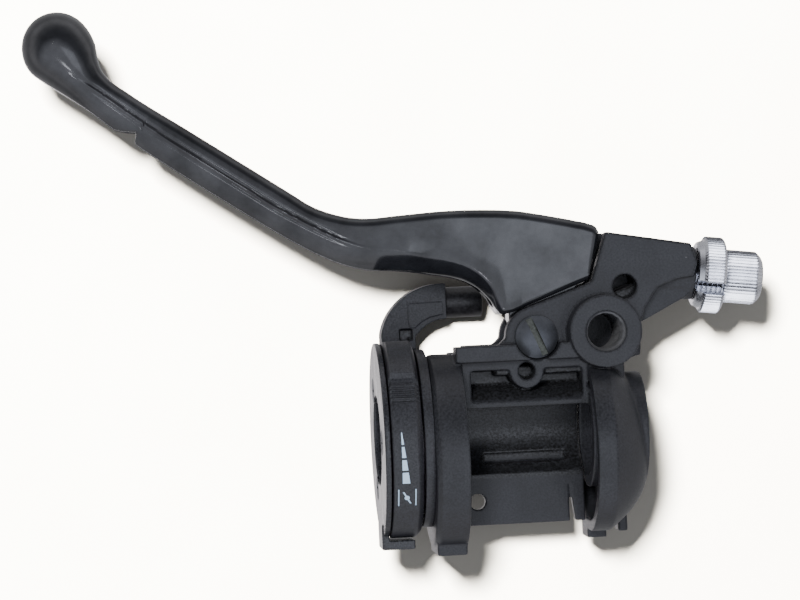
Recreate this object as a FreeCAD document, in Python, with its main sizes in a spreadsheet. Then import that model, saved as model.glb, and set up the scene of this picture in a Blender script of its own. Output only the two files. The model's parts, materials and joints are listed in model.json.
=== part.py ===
import FreeCAD
import Part
import math
import os

from FreeCAD import Placement, Rotation, Vector

# Left-hand handlebar control of a light motorcycle: clutch lever and perch, with an open
# switch bay, a tapped mirror boss, a clutch cable adjuster and a thumb choke ring.
# Millimetres. The origin is on the handlebar's axis, abreast of the lever's pivot.
# +X runs along the bar towards the middle of the vehicle, +Y towards the lever, and +Z
# along the pivot screw, towards its head.

os.makedirs("parts", exist_ok=True)
doc = FreeCAD.newDocument("clutch_perch")

# Driving sizes. Each is set here once, and everything else follows.
SIZES = {
    # handlebar and housing
    "bar_bore_dia": 22.4,
    "bay_left": 19.3,
    "bay_right": 12.4,
    "wall_radius": 24.4,
    "wall_thick": 8.3,
    "wall_drop": 3.6,
    "wall_bevel": 1.3,
    "dome_radius": 21.9,
    "dome_depth": 14.9,
    "shell_thick": 3.0,
    "sleeve_thick": 3.0,
    "beam_top": 22.5,
    "beam_thick": 4.0,
    "beam_front": 13.0,
    "frame_front": 9.5,
    "block_rear": 12.0,
    "pocket_floor": 2.0,
    "saddle_thick": 1.4,
    # fork and pivot
    "pivot_offset": 24.1,
    "fork_half": 8.5,
    "slot_half": 4.2,
    "ear_radius": 7.6,
    "pivot_dia": 6.0,
    "pivot_head_dia": 10.6,
    "pivot_head_high": 3.2,
    "running_gap": 0.05,
    "shim_thick": 0.3,
    "bush_wall": 1.4,
    # mirror boss
    "mirror_dia": 10.0,
    "mirror_boss_dia": 18.0,
    "mirror_top": 15.0,
    "mirror_deep": 21.0,
    "port_dia": 6.0,
    # rear clamp
    "clamp_thick": 4.3,
    "clamp_gap": 0.4,
    "side_gap": 0.2,
    "lug_thick": 3.8,
    "clamp_screw_dia": 4.0,
    "switch_screw_dia": 4.2,
    "hang_low": 23.0,
    "hang_thick": 3.0,
    # lever
    "lever_reach": 114.9,
    "ball_dia": 17.4,
    "blade_thick": 11.6,
    "tongue_radius": 6.3,
    "nipple_dia": 8.2,
    "cable_slot": 2.6,
    # cable adjuster
    "adjuster_dia": 8.0,
    "adjuster_tilt": 7.0,
    "lock_dia": 19.2,
    "lock_long": 7.0,
    "barrel_dia": 13.4,
    "barrel_long": 9.6,
    "socket_dia": 6.0,
    "cable_way_dia": 2.6,
    # choke
    "flange_dia": 44.4,
    "flange_thick": 2.4,
    "hub_dia": 34.0,
    "ring_dia": 49.0,
    "ring_long": 7.6,
    "ring_bevel": 1.4,
    "pad_rise": 1.5,
    "washer_thick": 0.4,
    "washer_gap": 0.1,
    "cap_gap": 0.4,
    "cap_thick": 1.4,
    "choke_screw_dia": 3.0,
    "detent_dia": 3.0,
    # choke cable elbow
    "elbow_back": 19.0,
    "elbow_half": 4.5,
    "ferrule_dia": 7.9,
    "ferrule_long": 9.3,
    "choke_cable_dia": 5.0,
}

sheet = doc.addObject("Spreadsheet::Sheet", "dims")
for row, (alias, value) in enumerate(SIZES.items(), start=1):
    sheet.set(f"A{row}", alias)
    sheet.set(f"B{row}", str(value))
    sheet.setAlias(f"B{row}", alias)
doc.recompute()

AXIS_X = Vector(1, 0, 0)
AXIS_Y = Vector(0, 1, 0)
AXIS_Z = Vector(0, 0, 1)
OVER = 1.0  # how far a cutter runs past the face it opens


def size(alias):
    """The number in the sheet's cell of that alias."""
    return float(sheet.get(alias))


def turned(axis):
    """The rotation that takes +Z to the axis."""
    return Rotation(AXIS_Z, axis)


def bind(item, **expressions):
    """Bind properties of an object to the sheet."""
    for name, expression in expressions.items():
        item.setExpression(name, expression)
    return item


def cylinder(name, radius, height, base, axis=AXIS_Z):
    """A cylinder whose radius and height are expressions, from base along axis."""
    item = bind(doc.addObject("Part::Cylinder", name), Radius=radius, Height=height)
    item.Placement = Placement(Vector(*base), turned(axis))
    return item


def cone(name, first, second, height, base, axis=AXIS_Z):
    """A cone frustum from radius first at base to radius second."""
    item = doc.addObject("Part::Cone", name)
    bind(item, Radius1=first, Radius2=second, Height=height)
    item.Placement = Placement(Vector(*base), turned(axis))
    return item


def sector(name, radius, height, base_x, start, sweep):
    """A slice of a cylinder about the bar's axis, angles from +Z towards -Y in degrees."""
    item = bind(doc.addObject("Part::Cylinder", name), Radius=radius, Height=height)
    item.Angle = sweep
    # The slice opens anticlockwise about +X from +Z, which is towards -Y.
    to_x = Rotation(Vector(0, 0, 1), Vector(0, -1, 0), Vector(1, 0, 0), "ZXY")
    about_x = Rotation(AXIS_X, start)
    item.Placement = Placement(Vector(base_x, 0, 0), about_x.multiply(to_x))
    return item


def box(name, low, high):
    """A box between two corners."""
    item = doc.addObject("Part::Box", name)
    item.Length = high[0] - low[0]
    item.Width = high[1] - low[1]
    item.Height = high[2] - low[2]
    item.Placement = Placement(Vector(*low), Rotation())
    return item


def sphere(name, radius, centre):
    """A ball."""
    item = bind(doc.addObject("Part::Sphere", name), Radius=radius)
    item.Placement = Placement(Vector(*centre), Rotation())
    return item


def line(*points):
    """A run of straight edges."""
    return [Part.LineSegment(Vector(*a, 0), Vector(*b, 0)) for a, b in zip(points, points[1:])]


def arc(start, middle, end):
    """One arc through three points."""
    return [Part.Arc(Vector(*start, 0), Vector(*middle, 0), Vector(*end, 0))]


def spline(*points):
    """One smooth curve through the points."""
    curve = Part.BSplineCurve()
    curve.interpolate([Vector(*point, 0) for point in points])
    return [curve]


def plane_of(body, role):
    """One of the body's own origin planes."""
    for feature in body.Origin.OriginFeatures:
        if feature.Role == role:
            return feature
    raise ValueError(role)


def padded(name, edges, low, length):
    """A body: a closed outline in XY, padded from the height low by the expression length."""
    body = doc.addObject("PartDesign::Body", name)
    sketch = body.newObject("Sketcher::SketchObject", name + "_outline")
    sketch.AttachmentSupport = (plane_of(body, "XY_Plane"), [""])
    sketch.MapMode = "FlatFace"
    sketch.AttachmentOffset = Placement(Vector(0, 0, low), Rotation())
    sketch.addGeometry(edges, False)
    pad = body.newObject("PartDesign::Pad", name + "_pad")
    pad.Profile = sketch
    bind(pad, Length=length)
    body.Tip = pad
    return body


def lathed(name, edges, centre_y=0.0):
    """A body: closed edges in (x, radius) turned about a line along X at the height centre_y."""
    body = doc.addObject("PartDesign::Body", name)
    sketch = body.newObject("Sketcher::SketchObject", name + "_profile")
    sketch.AttachmentSupport = (plane_of(body, "XY_Plane"), [""])
    sketch.MapMode = "FlatFace"
    sketch.addGeometry(edges, False)
    turn = body.newObject("PartDesign::Revolution", name + "_turn")
    turn.Profile = sketch
    turn.ReferenceAxis = (sketch, ["H_Axis"])
    turn.Angle = 360
    body.Tip = turn
    body.Placement = Placement(Vector(0, centre_y, 0), Rotation())
    return body


def fuse(name, *items):
    """One solid from several."""
    item = doc.addObject("Part::MultiFuse", name)
    item.Shapes = list(items)
    item.Refine = True
    return item


def cut(name, base, *tools):
    """The base less the tools."""
    item = doc.addObject("Part::Cut", name)
    item.Base = base
    item.Tool = tools[0] if len(tools) == 1 else fuse(name + "_cutters", *tools)
    item.Refine = True
    return item


def common(name, *items):
    """What several solids share."""
    item = doc.addObject("Part::MultiCommon", name)
    item.Shapes = list(items)
    return item


NODES = []


def node(item, label):
    """Give a finished sub-part the name of its file."""
    item.Label = label
    NODES.append(item)
    return item


# Places worked out from the sizes.
bore = size("bar_bore_dia") / 2
bay_left = -size("bay_left")
bay_right = size("bay_right")
wall_left = bay_left - size("wall_thick")
dome_end = bay_right + size("dome_depth")
pivot_y = size("pivot_offset")
fork = size("fork_half")
slot = size("slot_half")
beam_top = size("beam_top")
beam_low = beam_top - size("beam_thick")
frame_front = size("frame_front")
block_rear = size("block_rear")
clamp_outer = bore + size("clamp_thick")
gap = size("running_gap")
pivot_r = size("pivot_dia") / 2
tilt = math.radians(size("adjuster_tilt"))
NOSE = Vector(41.4, pivot_y + 13.9, 0)
ADJUST = Vector(math.cos(tilt), -math.sin(tilt), 0)


def up(points):
    """Points given from the pivot, moved to the part's frame."""
    return [(x, y + pivot_y) for x, y in points]


def station(along):
    """A point on the adjuster's axis, measured outwards from the nose's end face."""
    return tuple(NOSE + ADJUST * along)


# ---------------------------------------------------------------- perch housing
EAR_CORNER = [(-7.6, 0.0), (-2.6, 7.15)]
EAR_TOP = [(-2.6, 7.15), (14.6, 13.0), (18.6, 25.3), (39.9, 21.5), (41.5, 16.7)]
EAR_UNDER = [(41.5, 16.7), (40.3, 13.3), (36.2, 12.8), (31.1, 10.9), (27.7, 6.2), (26.4, 1.6)]
SWITCH_BOSS = (-2.8, 15.8)
SWITCH_BOSS_RADIUS = 4.3
MIRROR = (16.7, pivot_y + 0.7)
PORT = (22.8, pivot_y + 11.5)


def make_fork():
    """Two ears and the nose, before the lever's slot is cut."""
    low_y = beam_low - 3.5
    corner = size("ear_radius")
    middle = math.radians(125)
    ear = padded(
        "ears",
        line((-10.5, low_y), (-10.5, pivot_y - 2.6), (-corner, pivot_y))
        + arc((-corner, pivot_y), (corner * math.cos(middle), pivot_y + corner * math.sin(middle)),
              (EAR_TOP[0][0], pivot_y + math.sqrt(corner ** 2 - EAR_TOP[0][0] ** 2)))
        + line((EAR_TOP[0][0], pivot_y + math.sqrt(corner ** 2 - EAR_TOP[0][0] ** 2)),
               *up(EAR_TOP[1:]))
        + line(*up(EAR_UNDER), (26.0, beam_low), (bay_right, low_y), (-10.5, low_y)),
        -fork, "2 * dims.fork_half")
    web = padded(
        "nose_web",
        line(*up([(24, 0.9), (29.1, 3.4), (38.7, 8.2), (40.9, 11.0), (40.3, 15.0), (30, 14.0), (24, 0.9)])),
        -5.0, "10")
    nose = cylinder("nose_round", "dims.barrel_dia / 2 + 0.1", "16", station(-16.0),
                    ADJUST)
    return fuse("fork_solid", ear, web, nose)


def make_slot():
    """The lever's room between the ears, open above and to the left."""
    room = padded(
        "slot_room",
        line(*up([(-14, -7.0), (8.5, -7.0), (8.5, 5.9), (26, 11.9), (24, 28), (-14, 28), (-14, -7.0)])),
        -slot, "2 * dims.slot_half")
    floor = cylinder("slot_floor", "dims.tongue_radius + 0.7", "2 * dims.slot_half",
                     (0, pivot_y, -slot))
    return [room, floor]


def make_wall():
    """The round left wall, hollowed from the bay's side, with its flat foot."""
    drop = -size("wall_drop")
    radius = size("wall_radius")
    bevel = size("wall_bevel")
    disc = lathed("wall_disc", line((wall_left, 0), (wall_left, radius - bevel), (wall_left + bevel, radius),
                                    (bay_left, radius), (bay_left, 0), (wall_left, 0)), drop)
    recess = cylinder("wall_recess", "dims.wall_radius - dims.shell_thick",
                      "dims.wall_thick - dims.shell_thick + 1",
                      (wall_left + size("shell_thick"), drop, 0), AXIS_X)
    keep = cylinder("wall_boss", "dims.hub_dia / 2 + 0.8", "dims.wall_thick + 4",
                    (wall_left - OVER, 0, 0), AXIS_X)
    upper = box("wall_upper", (wall_left, beam_low - 13.5, -radius), (bay_left + 3, radius, radius))
    hollow = cut("wall_hollow", recess, keep, upper)
    foot = box("wall_foot", (wall_left + 0.6, drop - radius - 1.0, -9.0),
               (bay_left - 0.2, drop - radius + 3.0, 9.0))
    return cut("wall_solid", fuse("wall_with_foot", disc, foot), hollow)


def make_dome():
    """The right-hand dome: a turned shell round the bar, with its feet."""
    drop = -size("wall_drop") + 0.1
    radius = size("dome_radius")
    shell = size("shell_thick")
    outer = lathed(
        "dome_outer", line((bay_right, 0), (bay_right, radius), (bay_right + 4.6, radius))
        + spline((bay_right + 4.6, radius), (bay_right + 8.6, radius - 3.2), (dome_end - 1.8, radius - 8.9),
                 (dome_end - 0.3, radius - 13.9), (dome_end, 0)) + line((dome_end, 0), (bay_right, 0)), drop)
    mouth = bay_right - OVER
    back = dome_end - shell
    inner = lathed("dome_inner", line(
        (mouth, 0), (mouth, radius - shell), (bay_right + 4.0, radius - shell),
        (bay_right + 6.9, radius - shell - 2.9), (back - 1.6, radius - shell - 7.6),
        (back, radius - shell - 11.0), (back, 0), (mouth, 0)), drop)
    sleeve = cylinder("dome_sleeve", "dims.bar_bore_dia / 2 + dims.sleeve_thick",
                      "dims.dome_depth - 0.9", (bay_right, 0, 0), AXIS_X)
    neck = box("dome_neck", (bay_right, beam_low - 9.0, -8.0), (bay_right + 9.4, beam_top, 8.0))
    foot = box("dome_foot", (bay_right, drop - radius - 2.0, -14.0),
               (bay_right + 4.8, drop - radius + 8.0, -4.0))
    lug = box("dome_lug", (bay_right + 8.2, drop - radius - 0.9, -12.0),
              (bay_right + 10.6, drop - radius + 6.0, -6.0))
    shelled = cut("dome_shell", fuse("dome_mass", outer, foot, lug), inner)
    return fuse("dome_solid", shelled, sleeve, neck)


def make_block():
    """The block over the bar that carries the fork, with its front frame and beam."""
    front = box("block_front", (bay_left - 1.3, 7.0, -size("clamp_gap")),
                (bay_right + 0.1, beam_top, frame_front))
    rear = box("block_back", (bay_left - 1.3, bore - 0.3, -block_rear), (bay_right + 0.1, beam_top, 0.1))
    beam = box("block_beam", (bay_left - 1.3, beam_low, 0), (bay_right + 0.1, beam_top, size("beam_front")))
    pocket = box("pocket_room", (bay_left + 2.5, 8.5, size("pocket_floor")),
                 (bay_right - 1.5, beam_low - 2.2, frame_front + OVER))
    saddle = cylinder("pocket_saddle", "dims.bar_bore_dia / 2 + dims.saddle_thick", "60", (-30, 0, 0),
                      AXIS_X)
    boss = cylinder("switch_boss", str(SWITCH_BOSS_RADIUS), "dims.frame_front", (*SWITCH_BOSS, 0))
    hollow = cut("pocket_hollow", pocket, saddle)
    corner = box("block_corner", (bay_left - 3, beam_top - 1.6, -block_rear - OVER), (bay_left + 2.3, beam_top + OVER, 5.0))
    mass = cut("block_trimmed", fuse("block_mass", front, rear, beam), corner)
    return fuse("block_solid", cut("block_framed", mass, hollow), boss)


def make_housing():
    """The whole casting, with every hole."""
    mirror = cylinder("mirror_boss", "dims.mirror_boss_dia / 2", "dims.mirror_top + dims.fork_half",
                      (*MIRROR, -fork))
    solid = fuse("housing_solid", make_wall(), make_dome(), make_block(), make_fork(), mirror)
    cutters = make_slot()
    cutters.append(cylinder("bar_bore", "dims.bar_bore_dia / 2", "90", (wall_left - 15, 0, 0), AXIS_X))
    cutters.append(cylinder("pivot_hole", "dims.pivot_dia / 2 + dims.running_gap", "40",
                            (0, pivot_y, -20)))
    cutters.append(cylinder("head_scallop", "dims.pivot_head_dia / 2 + 0.4", "12", (0, pivot_y, fork)))
    cutters.append(cylinder("nut_room", "dims.pivot_dia * 1.1", "12", (0, pivot_y, -fork - 12.0)))
    cutters.append(cylinder("mirror_hole", "dims.mirror_dia / 2", "dims.mirror_deep + 1",
                            (*MIRROR, size("mirror_top") - size("mirror_deep"))))
    cutters.append(cylinder("switch_port", "dims.port_dia / 2", "dims.fork_half", (*PORT, slot - 0.3)))
    cutters.append(cylinder("switch_tap", "dims.switch_screw_dia / 2", "7", (*SWITCH_BOSS,
                            frame_front - 6)))
    cutters.append(cylinder("adjuster_tap", "dims.adjuster_dia / 2 + dims.running_gap", "17",
                            station(-15.0), ADJUST))
    cutters.append(cylinder("cable_way", "dims.cable_way_dia / 2", "12", station(-24.0), ADJUST))
    split = box("cable_split", (0, -10.0, -size("cable_slot") / 2), (26.0, 0, size("cable_slot") / 2))
    split.Placement = Placement(Vector(*station(-20.0)) + Vector(0, 0, -size("cable_slot") / 2),
                                Rotation(AXIS_X, ADJUST)).multiply(Placement(Vector(0, -10, 0), Rotation()))
    cutters.append(split)
    for index, (x, y) in enumerate(CLAMP_SCREWS):
        cutters.append(cylinder(f"clamp_tap_{index}", "dims.clamp_screw_dia / 2 + dims.running_gap", "10",
                                (x, y, -block_rear - OVER)))
    for index, (y, z) in enumerate(CHOKE_SCREWS):
        cutters.append(cylinder(f"choke_tap_{index}", "dims.choke_screw_dia / 2 + dims.running_gap",
                                "dims.wall_thick - 1", (wall_left - OVER, y, z), AXIS_X))
    cutters.append(cylinder("detent_pocket", "dims.detent_dia / 2 + dims.running_gap", "6",
                            (wall_left - OVER, *DETENT), AXIS_X))
    return node(cut("housing", solid, *cutters), "perch_housing")


# ---------------------------------------------------------------- screw places
CLAMP_SCREWS = [(-12.0, bore + 3.0), (6.0, bore + 3.0)]
SCREW_CIRCLE = (bore + size("hub_dia") / 2) / 2
CHOKE_SCREWS = [(SCREW_CIRCLE * math.cos(math.radians(turn)), SCREW_CIRCLE * math.sin(math.radians(turn)))
                for turn in (90, 210, 330)]
DETENT_CIRCLE = size("hub_dia") / 2 + 2.6
DETENT = (-DETENT_CIRCLE * math.sin(math.radians(60)), DETENT_CIRCLE * math.cos(math.radians(60)))


# ---------------------------------------------------------------- rear clamp
def make_clamp():
    """The rear half of the clamp, with its lug plate and the plate that hangs into the bay."""
    left = bay_left + size("side_gap")
    right = bay_right - size("side_gap")
    hang_low = -size("hang_low")
    hang_front = -5.0
    ring = cylinder("clamp_ring", "dims.bar_bore_dia / 2 + dims.clamp_thick", str(right - left),
                    (left, 0, 0), AXIS_X)
    rear_half = box("clamp_half", (left, -clamp_outer - OVER, -clamp_outer - OVER),
                    (right, bore - 0.7, -size("clamp_gap")))
    lug_top = -block_rear - size("side_gap")
    lug = box("clamp_lug", (left, 6.0, lug_top - size("lug_thick")), (right, bore + 7.0, lug_top))
    hang = box("clamp_hang", (left, hang_low, hang_front - size("hang_thick")),
               (right, -bore - 0.1, hang_front))
    mass = fuse("clamp_mass", common("clamp_saddle", ring, rear_half), lug, hang)
    slit = padded("clamp_slit", line((8.2, -bore - 2.1), (8.5, -bore - 2.1), (9.8, hang_low - OVER),
                                     (8.2, hang_low - OVER), (8.2, -bore - 2.1)), -12.0, "10")
    recess = box("clamp_recess", (-12.7, -7.65, -10.5), (8.2, -5.15, -4.0))
    lip = box("clamp_lip", (left - OVER, -clamp_outer - OVER, hang_front), (right + OVER, 2.0 - bore, OVER))
    cutters = [slit, recess, lip,
               cylinder("clamp_bore", "dims.bar_bore_dia / 2", "90", (left - 20, 0, 0), AXIS_X),
               cylinder("lower_hole", "2", "12", (-15.0, -17.0, -12.0)),
               cylinder("clamp_nut_room", "dims.pivot_dia * 1.1", "12", (0, pivot_y, lug_top - 10.0))]
    for index, (x, y) in enumerate(CLAMP_SCREWS):
        cutters.append(cylinder(f"clamp_clear_{index}", "dims.clamp_screw_dia / 2 + 0.2", "12",
                                (x, y, lug_top - 8.0)))
    return node(cut("clamp", mass, *cutters), "bar_clamp")


def make_socket_screw(label, x, y, under_head):
    """A socket screw that points towards +Z, its head below the height under_head."""
    head = cylinder(label + "_head", "dims.clamp_screw_dia * 0.875", "dims.clamp_screw_dia",
                    (x, y, under_head - size("clamp_screw_dia")))
    shank = cylinder(label + "_shank", "dims.clamp_screw_dia / 2", str(size("lug_thick") + 9.0),
                     (x, y, under_head - 0.1))
    key = doc.addObject("Part::Prism", label + "_key")
    key.Polygon = 6
    bind(key, Circumradius="dims.clamp_screw_dia * 0.433", Height="dims.clamp_screw_dia * 0.6 + 1")
    key.Placement = Placement(Vector(x, y, under_head - size("clamp_screw_dia") - OVER), Rotation())
    return node(cut(label + "_body", fuse(label + "_mass", head, shank), key), label)


# ---------------------------------------------------------------- pivot
def make_pivot():
    """The pivot screw, its rear washer and nut, the lever's bush and two shims."""
    top = size("pivot_head_high")
    head = cylinder("pivot_head", "dims.pivot_head_dia / 2", "dims.pivot_head_high - 0.8", (0, pivot_y, fork))
    dome = cone("pivot_dome", "dims.pivot_head_dia / 2", "dims.pivot_head_dia / 2 - 1.6", "0.8",
                (0, pivot_y, fork + top - 0.8))
    shank = cylinder("pivot_shank", "dims.pivot_dia / 2", "2 * dims.fork_half + 6.8",
                     (0, pivot_y, -fork - 6.5))
    blade = box("pivot_slot", (-10, -0.8, 0), (10, 0.8, 2.5))
    blade.Placement = Placement(Vector(0, pivot_y, fork + top - 1.5), Rotation(AXIS_Z, -67)).multiply(
        Placement(Vector(-10, -0.8, 0), Rotation()))
    node(cut("pivot_body", fuse("pivot_mass", head, dome, shank), blade), "pivot_screw")

    node(tube("washer_body", "dims.pivot_dia", "dims.pivot_dia / 2 + 0.15", "0.8", (0, pivot_y, -fork - 0.8)),
         "pivot_washer")
    nut = doc.addObject("Part::Prism", "nut_hex")
    nut.Polygon = 6
    bind(nut, Circumradius="dims.pivot_dia * 0.962", Height="dims.pivot_dia * 0.8")
    nut.Placement = Placement(Vector(0, pivot_y, -fork - 0.8 - size("pivot_dia") * 0.8), Rotation())
    hole = cylinder("nut_hole", "dims.pivot_dia / 2 + 0.02", "12", (0, pivot_y, -fork - 10))
    node(cut("nut_body", nut, hole), "pivot_nut")

    tongue = size("slot_half") - size("shim_thick") - 0.1
    node(tube("bush_body", "dims.pivot_dia / 2 + dims.running_gap + dims.bush_wall",
              "dims.pivot_dia / 2 + dims.running_gap", str(2 * tongue), (0, pivot_y, -tongue)), "pivot_bush")
    for label, low in (("shim_front", slot - size("shim_thick") - 0.05), ("shim_rear", -slot + 0.05)):
        node(tube(label + "_body", "dims.tongue_radius - 0.4", "dims.pivot_dia / 2 + 0.15",
                  "dims.shim_thick", (0, pivot_y, low)), label)


def tube(name, outer, inner, height, base, axis=AXIS_Z):
    """A plain round tube."""
    body = cylinder(name + "_outer", outer, height, base, axis)
    start = tuple(Vector(*base) - axis * OVER)
    hole = cylinder(name + "_inner", inner, f"{height} + {2 * OVER}", start, axis)
    return cut(name, body, hole)


# ---------------------------------------------------------------- lever
def along(points):
    """Blade points from the pivot, stretched with the lever's reach, in the part's frame."""
    root = 20.0
    stretch = (size("lever_reach") - root) / 94.9
    return up([(x if x > -root else -root + (x + root) * stretch, y) for x, y in points])


def make_lever():
    """The lever: a flat blade with a ball end, a thick shoulder and a tongue in the fork."""
    blade_half = size("blade_thick") / 2
    upper = along([(-112.0, 79.3), (-98.0, 65.1), (-68.8, 45.2), (-54.2, 35.2), (-44.3, 31.7),
                   (-34.2, 31.6), (-21.6, 32.3), (-6.5, 31.8), (0.9, 30.7)])
    lower = along([(-9.2, 6.6), (-10.6, 9.7), (-16.2, 14.4), (-24.9, 16.7), (-39.9, 18.3),
                   (-49.8, 21.5), (-69.4, 33.2), (-93.7, 49.9), (-117.5, 69.3)])
    blade = padded("lever_blade", spline(*upper) + line(upper[-1], lower[0]) + spline(*lower)
                   + line(lower[-1], upper[0]), -blade_half, "dims.blade_thick")
    ball = sphere("lever_ball", "dims.ball_dia / 2", (-size("lever_reach"), pivot_y + 77.2, 0))
    gap_line = [(14.0, 13.5), (-2.7, 7.45), (-7.4, 5.7)]
    shoulder = padded(
        "lever_shoulder",
        line(*up([(-6.5, 31.8)] + [(1.5, 30.7), (8.4, 29.1), (15.9, 27.2), (17.4, 25.6)] + gap_line
                 + [(-9.2, 6.6), (-12.5, 14.5), (-12.0, 31.9), (-6.5, 31.8)])),
        -fork, "2 * dims.fork_half")
    clear = cylinder("corner_clear", "dims.ear_radius + 0.3", "40", (0, pivot_y, -20))
    head = cut("lever_head", fuse("lever_mass", blade, shoulder), clear)
    thin = 2 * (slot - size("shim_thick") - 0.1)
    tongue = padded("lever_tongue", line(*up([(-6.0, 1.5), (-6.0, 12.0), (12.5, 19.0), (13.0, 14.0), (9.5, 9.9),
                                              (5.5, 3.1), (-6.0, 1.5)])), -thin / 2, str(thin))
    knuckle = cylinder("lever_knuckle", "dims.tongue_radius", str(thin), (0, pivot_y, -thin / 2))
    solid = fuse("lever_solid", head, ball, tongue, knuckle)
    nipple = (3.0, pivot_y + 18.7)
    half = size("cable_slot") / 2
    seat = cylinder("nipple_seat", "dims.nipple_dia / 2", "dims.fork_half + 4", (*nipple, -fork - OVER))
    way = box("nipple_way", (nipple[0], nipple[1] - half, -fork - OVER), (20.0, nipple[1] + half, half))
    eye = cylinder("lever_eye", "dims.pivot_dia / 2 + dims.running_gap + dims.bush_wall + 0.01", "40",
                   (0, pivot_y, -20))
    return node(cut("lever", solid, seat, way, eye), "clutch_lever")


# ---------------------------------------------------------------- clutch cable adjuster
def ring_slot(name, width, first, last, angle):
    """A radial slot along the adjuster's axis, the angle from +Z towards -Y."""
    item = doc.addObject("Part::Box", name)
    item.Length = last - first
    item.Width = width
    item.Height = 14.0
    # Local +X lies along the axis and local +Z towards the slot's mouth.
    facing = Rotation(AXIS_X, ADJUST).multiply(Rotation(AXIS_X, angle))
    item.Placement = Placement(Vector(*station(first)), facing).multiply(
        Placement(Vector(0, -width / 2, 0), Rotation()))
    return item


def make_adjuster():
    """The slotted lock ring and the barrel whose shank screws into the nose."""
    lock_long = size("lock_long")
    bevel = 1.0
    first = 0.3
    disc = cylinder("lock_disc", "dims.lock_dia / 2", str(lock_long - 2 * bevel), station(first + bevel), ADJUST)
    near = cone("lock_near", f"dims.lock_dia / 2 - {bevel}", "dims.lock_dia / 2", str(bevel), station(first),
                ADJUST)
    far = cone("lock_far", "dims.lock_dia / 2", f"dims.lock_dia / 2 - {bevel}", str(bevel),
               station(first + lock_long - bevel), ADJUST)
    hole = cylinder("lock_hole", "dims.adjuster_dia / 2 + dims.running_gap", "20", station(-5), ADJUST)
    mouth = ring_slot("lock_slot", 3.1, -2.0, 12.0, 23)
    node(cut("lock_body", fuse("lock_mass", disc, near, far), hole, mouth), "adjuster_lock_ring")

    start = first + lock_long + 0.3
    end = start + size("barrel_long")
    head = cylinder("barrel_head", "dims.barrel_dia / 2", "dims.barrel_long - 1.5", station(start), ADJUST)
    tip = cone("barrel_tip", "dims.barrel_dia / 2", "dims.barrel_dia / 2 - 1.5", "1.5", station(end - 1.5), ADJUST)
    shank = cylinder("barrel_shank", "dims.adjuster_dia / 2", str(start + 12.1), station(-12.0), ADJUST)
    socket = cylinder("barrel_socket", "dims.socket_dia / 2", "9", station(end - 8.0), ADJUST)
    way = cylinder("barrel_way", "dims.cable_way_dia / 2", "40", station(-14.0), ADJUST)
    split = ring_slot("barrel_slot", size("cable_slot"), -14.0, end + 2, 90)
    node(cut("barrel_body", fuse("barrel_mass", head, tip, shank), socket, way, split), "adjuster_barrel")


# ---------------------------------------------------------------- choke
flange_left = wall_left - size("flange_thick")
ring_right = flange_left - size("washer_thick") - 2 * size("washer_gap")
ring_left = ring_right - size("ring_long")
cap_right = ring_left - size("cap_gap")
cap_left = cap_right - size("cap_thick")


def choke_holes(name, radius, first, last):
    """The three screws' holes along X, their radius an expression."""
    return [cylinder(f"{name}_{index}", radius, str(last - first), (first, y, z), AXIS_X)
            for index, (y, z) in enumerate(CHOKE_SCREWS)]


def make_choke_base():
    """The fixed flange against the wall, with the hub that the choke ring turns on."""
    flange = cylinder("base_flange", "dims.flange_dia / 2", "dims.flange_thick", (flange_left, 0, 0), AXIS_X)
    hub = cylinder("base_hub", "dims.hub_dia / 2", str(flange_left - cap_right + 1.0), (cap_right, 0, 0), AXIS_X)
    hole = cylinder("base_bore", "dims.bar_bore_dia / 2", "40", (cap_left - 10, 0, 0), AXIS_X)
    ball_way = cylinder("base_detent", "dims.detent_dia / 2 + dims.running_gap", "20",
                        (flange_left - OVER, *DETENT), AXIS_X)
    grip = box("base_socket", (flange_left - OVER, 9.4, TONGUE[1][0] - 0.05),
               (TONGUE[0][1] + 0.05, 30.0, TONGUE[1][1] + 0.05))
    holes = choke_holes("base_clear", "dims.choke_screw_dia / 2 + 0.1", cap_left - 5, wall_left + 5)
    node(cut("base_body", fuse("base_mass", flange, hub), hole, ball_way, grip, *holes), "choke_base")


def make_choke_cap():
    """The end cap that keeps the ring on its hub, with a tab below the ring."""
    disc = cylinder("cap_disc", "dims.ring_dia / 2 - 0.2", "dims.cap_thick", (cap_left, 0, 0), AXIS_X)
    low = -size("ring_dia") / 2 - 0.3
    arm = box("cap_arm", (cap_left - 0.4, low - 2.3, -6.0), (cap_right, low + 4.0, 6.0))
    tab = box("cap_tab", (cap_left - 0.4, low - 2.3, -6.0), (ring_right - 1.6, low, 6.0))
    hole = cylinder("cap_bore", "dims.bar_bore_dia / 2", "40", (cap_left - 10, 0, 0), AXIS_X)
    sinks = [cone(f"cap_sink_{index}", "dims.choke_screw_dia + 0.1", "dims.choke_screw_dia / 2 + 0.1",
                  "dims.cap_thick", (cap_left, y, z), AXIS_X) for index, (y, z) in enumerate(CHOKE_SCREWS)]
    node(cut("cap_body", fuse("cap_mass", disc, arm, tab), hole, *sinks), "choke_end_cap")


def make_choke_screw(index, y, z):
    """A countersunk screw through the cap and hub into the wall."""
    head = cone(f"choke_screw_head_{index}", "dims.choke_screw_dia", "dims.choke_screw_dia / 2",
                "dims.cap_thick", (cap_left, y, z), AXIS_X)
    long = wall_left + size("wall_thick") - 2.2 - cap_left
    shank = cylinder(f"choke_screw_shank_{index}", "dims.choke_screw_dia / 2", str(long), (cap_left, y, z), AXIS_X)
    cross = [box(f"choke_screw_bar_{index}_{side}", (cap_left - 1, y - a, z - b), (cap_left + 0.8, y + a, z + b))
             for side, (a, b) in enumerate(((1.5, 0.3), (0.3, 1.5)))]
    node(cut(f"choke_screw_body_{index}", fuse(f"choke_screw_mass_{index}", head, shank), *cross),
         f"choke_screw_{index + 1}")


RIB_ANGLES = [-34.7 + 2.6 * step for step in range(4)]


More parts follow.
